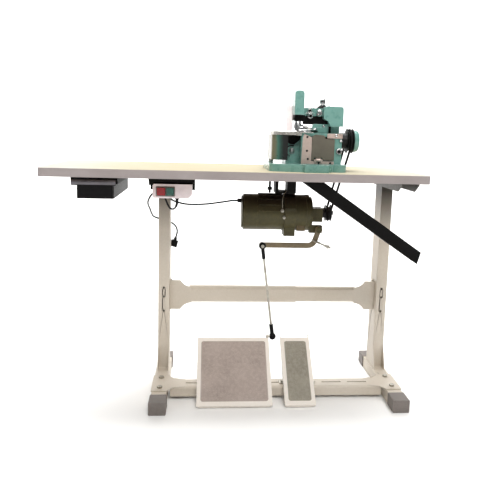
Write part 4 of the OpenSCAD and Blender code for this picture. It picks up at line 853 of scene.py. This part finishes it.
def switch():
    """Switch box with a pocket for the buttons, their bezel and the bracket's cheek."""
    low, high = box_mm("switch_box")
    stop_low, stop_high = box_mm("stop_button")
    start_low, start_high = box_mm("start_button")
    room = 0.5
    outer = arc((low[0] + 7, low[2] + 7), 7, 180, 270, 6) + arc((high[0] - 12, low[2] + 1), 1, 270, 300, 6)
    outer += arc((high[0] - 2, low[2] + 11), 2, 330, 360, 6) + arc((high[0] - 4, high[2] - 4), 4, 0, 90, 6)
    outer += arc((low[0] + 7, high[2] - 7), 7, 90, 180, 6)
    hole_low = (stop_low[0] - room, stop_low[2] - room)
    hole_high = (start_high[0] + room, start_high[2] + room)
    corners = [hole_low, (hole_high[0], hole_low[1]), (hole_high[0], (hole_low[1] + hole_high[1]) / 2),
               hole_high, (hole_low[0], hole_high[1])]
    inner = []
    for k, corner in enumerate(corners):
        radius = 0.9
        centre = (corner[0] + (radius if k in (0, 4) else -radius),
                  corner[1] + (radius if k < 2 else 0 if k == 2 else -radius))
        start, end = ((180, 270), (270, 360), (0, 0), (0, 90), (90, 180))[k]
        inner += [(centre[0] + radius * math.cos(math.radians(start + (end - start) * n / 6)),
                   centre[1] + radius * math.sin(math.radians(start + (end - start) * n / 6))
                   + (0.3 * (n - 3) if k == 2 else 0)) for n in range(7)]
    bm = bmesh.new()
    cup(bm, "y", outer, inner, (low[1], high[1]), high[1] - 3)
    finish_piece("switch_shell", bm, "switch_shell", "stand", 1.1, 4, stands_for=("switch_box",))
    bm = bmesh.new()
    frame_low = (stop_low[0] - 3.5, stop_low[2] - 3.5)
    frame_high = (start_high[0] + 3.5, start_high[2] + 3.5)
    cup_outer = rounded(frame_low, frame_high, (3,) * 4)
    cup_inner = rounded(hole_low, hole_high, (1,) * 4)
    first, second = [[bm.verts.new((a, d, b)) for a, b in cup_outer] for d in (low[1] - 1.8, low[1] + 0.4)]
    third, fourth = [[bm.verts.new((a, d, b)) for a, b in cup_inner] for d in (low[1] - 1.8, low[1] + 0.4)]
    for one, two in ((first, second), (second, fourth), (fourth, third), (third, first)):
        wall(bm, one, two)
    middle = (stop_high[0] + room, start_low[0] - room)
    prism(bm, "y", [(middle[0], hole_low[1] - 1), (middle[1], hole_low[1] - 1), (middle[1], hole_high[1] + 1),
                    (middle[0], hole_high[1] + 1)], (low[1] - 1.6, low[1] + 8))
    finish_piece("switch_bezel", bm, "grey_cap", "stand", 0.5)
    bm = bmesh.new()
    bracket_low, bracket_high = box_mm("switch_bracket")
    x, z = bracket_low[0] - 1, bracket_high[2]
    prism(bm, "y", [(x, z - 0.4), (x + 24, z - 0.4), (x + 17, z - 14), (x + 3, z - 27)],
          (bracket_low[1] - 2, bracket_low[1] + 1))
    finish_piece("bracket_cheek", bm, "black_paint", "stand", 0.6)


def cord_boot(name, points, length, start, end):
    """Tapered strain relief with ribs that follows the first stretch of a cord."""
    path, run = [], 0.0
    fine = smooth_path([Vector(p) / MM for p in points[:6]], 10)
    for a, b in zip(fine, fine[1:]):
        path.append(a)
        run += (b - a).length
        if run > length:
            break
    count = len(path) - 1
    radii = [start + (end - start) * k / count + (0.35 if (k // 2) % 2 else 0) for k in range(count + 1)]
    bm = bmesh.new()
    sweep(bm, path, radii, 20)
    return finish_piece(name, bm, "cord_rubber", "stand", 0.0)


def drawer_lip():
    """Rolled lip along the top of the drawer's front."""
    low, high = box_mm("drawer")
    bm = bmesh.new()
    front, top = low[1], high[2]
    outline = [(front + 6.4, top - 18.6), (front + 1, top - 18.6)]
    outline += arc((front + 4, top - 9), 7.6, 225, 135, 8)
    outline += [(front + 1.6, top - 0.4), (front + 6.4, top - 0.4)]
    prism(bm, "x", outline, (low[0], high[0]))
    finish_piece("drawer_lip", bm, "black_plastic", "drawer", 1.2, 4,
                 material=finish_of("worn_grey_plastic", (104, 100, 106), (58, 54, 58), (0.3, 0.5), grain=60,
                                    patch=26, wear=(176, 172, 178), edge=0.002, streak=(0.3, 1, 1)).material)


# ---------------------------------------------------------------- treadle mats

TILT = math.radians(41.5)   # slope of the treadles
MAT_THICK = 2.0


def treadle_mat(node, slot, body):
    """Rubber mat with rows of small raised diamonds, drawn flat and then turned onto the treadle's slope."""
    low, high = box_mm(node)
    width = high[0] - low[0]
    length = (high[1] - low[1] - MAT_THICK * math.sin(TILT)) / math.cos(TILT)
    base, top = 1.1, MAT_THICK
    bm = bmesh.new()
    prism(bm, "z", rounded((0, 0), (width, length), (8,) * 4), (0, base))
    pitch, half, margin = 5.0, 2.1, 5.0
    across, along = int((width - 2 * margin) / pitch), int((length - 2 * margin) / pitch)
    x0, y0 = (width - across * pitch) / 2, (length - along * pitch) / 2
    for i in range(across + 1):
        for j in range(along + 1):
            for shift in (0, 0.5):
                x, y = x0 + (i + shift) * pitch, y0 + (j + shift) * pitch
                if x > width - margin or y > length - margin:
                    continue
                foot = [bm.verts.new((x + a, y + b, base - 0.2)) for a, b in
                        ((half, 0), (0, half), (-half, 0), (0, -half))]
                crown = [bm.verts.new((x + a, y + b, top)) for a, b in
                         ((half * 0.45, 0), (0, half * 0.45), (-half * 0.45, 0), (0, -half * 0.45))]
                wall(bm, foot, crown)
                bm.faces.new(crown)
                bm.faces.new(foot)
    turn = Matrix.Rotation(TILT, 4, "X")
    place = Matrix.Translation((low[0], low[1] + MAT_THICK * math.sin(TILT), low[2]))
    bmesh.ops.transform(bm, matrix=place @ turn, verts=bm.verts)
    piece = finish_piece(node + "_rubber", bm, slot, body, 0.0, stands_for=(node,))
    piece.data.shade_flat()


make_camera()
make_studio()
make_floor()
dress_cad_nodes()
make_cords()
face_cover()
throat()
thread_parts()
tension_knobs()
looper_side()
cloth_shell()
handwheel()
clutch_lever()
motor_trim()
switch()
drawer_lip()
treadle_mat("motor_treadle_mat", "mat_rubber_pink", "motor_treadle")
treadle_mat("lifter_treadle_mat", "mat_rubber_olive", "lifter_treadle")
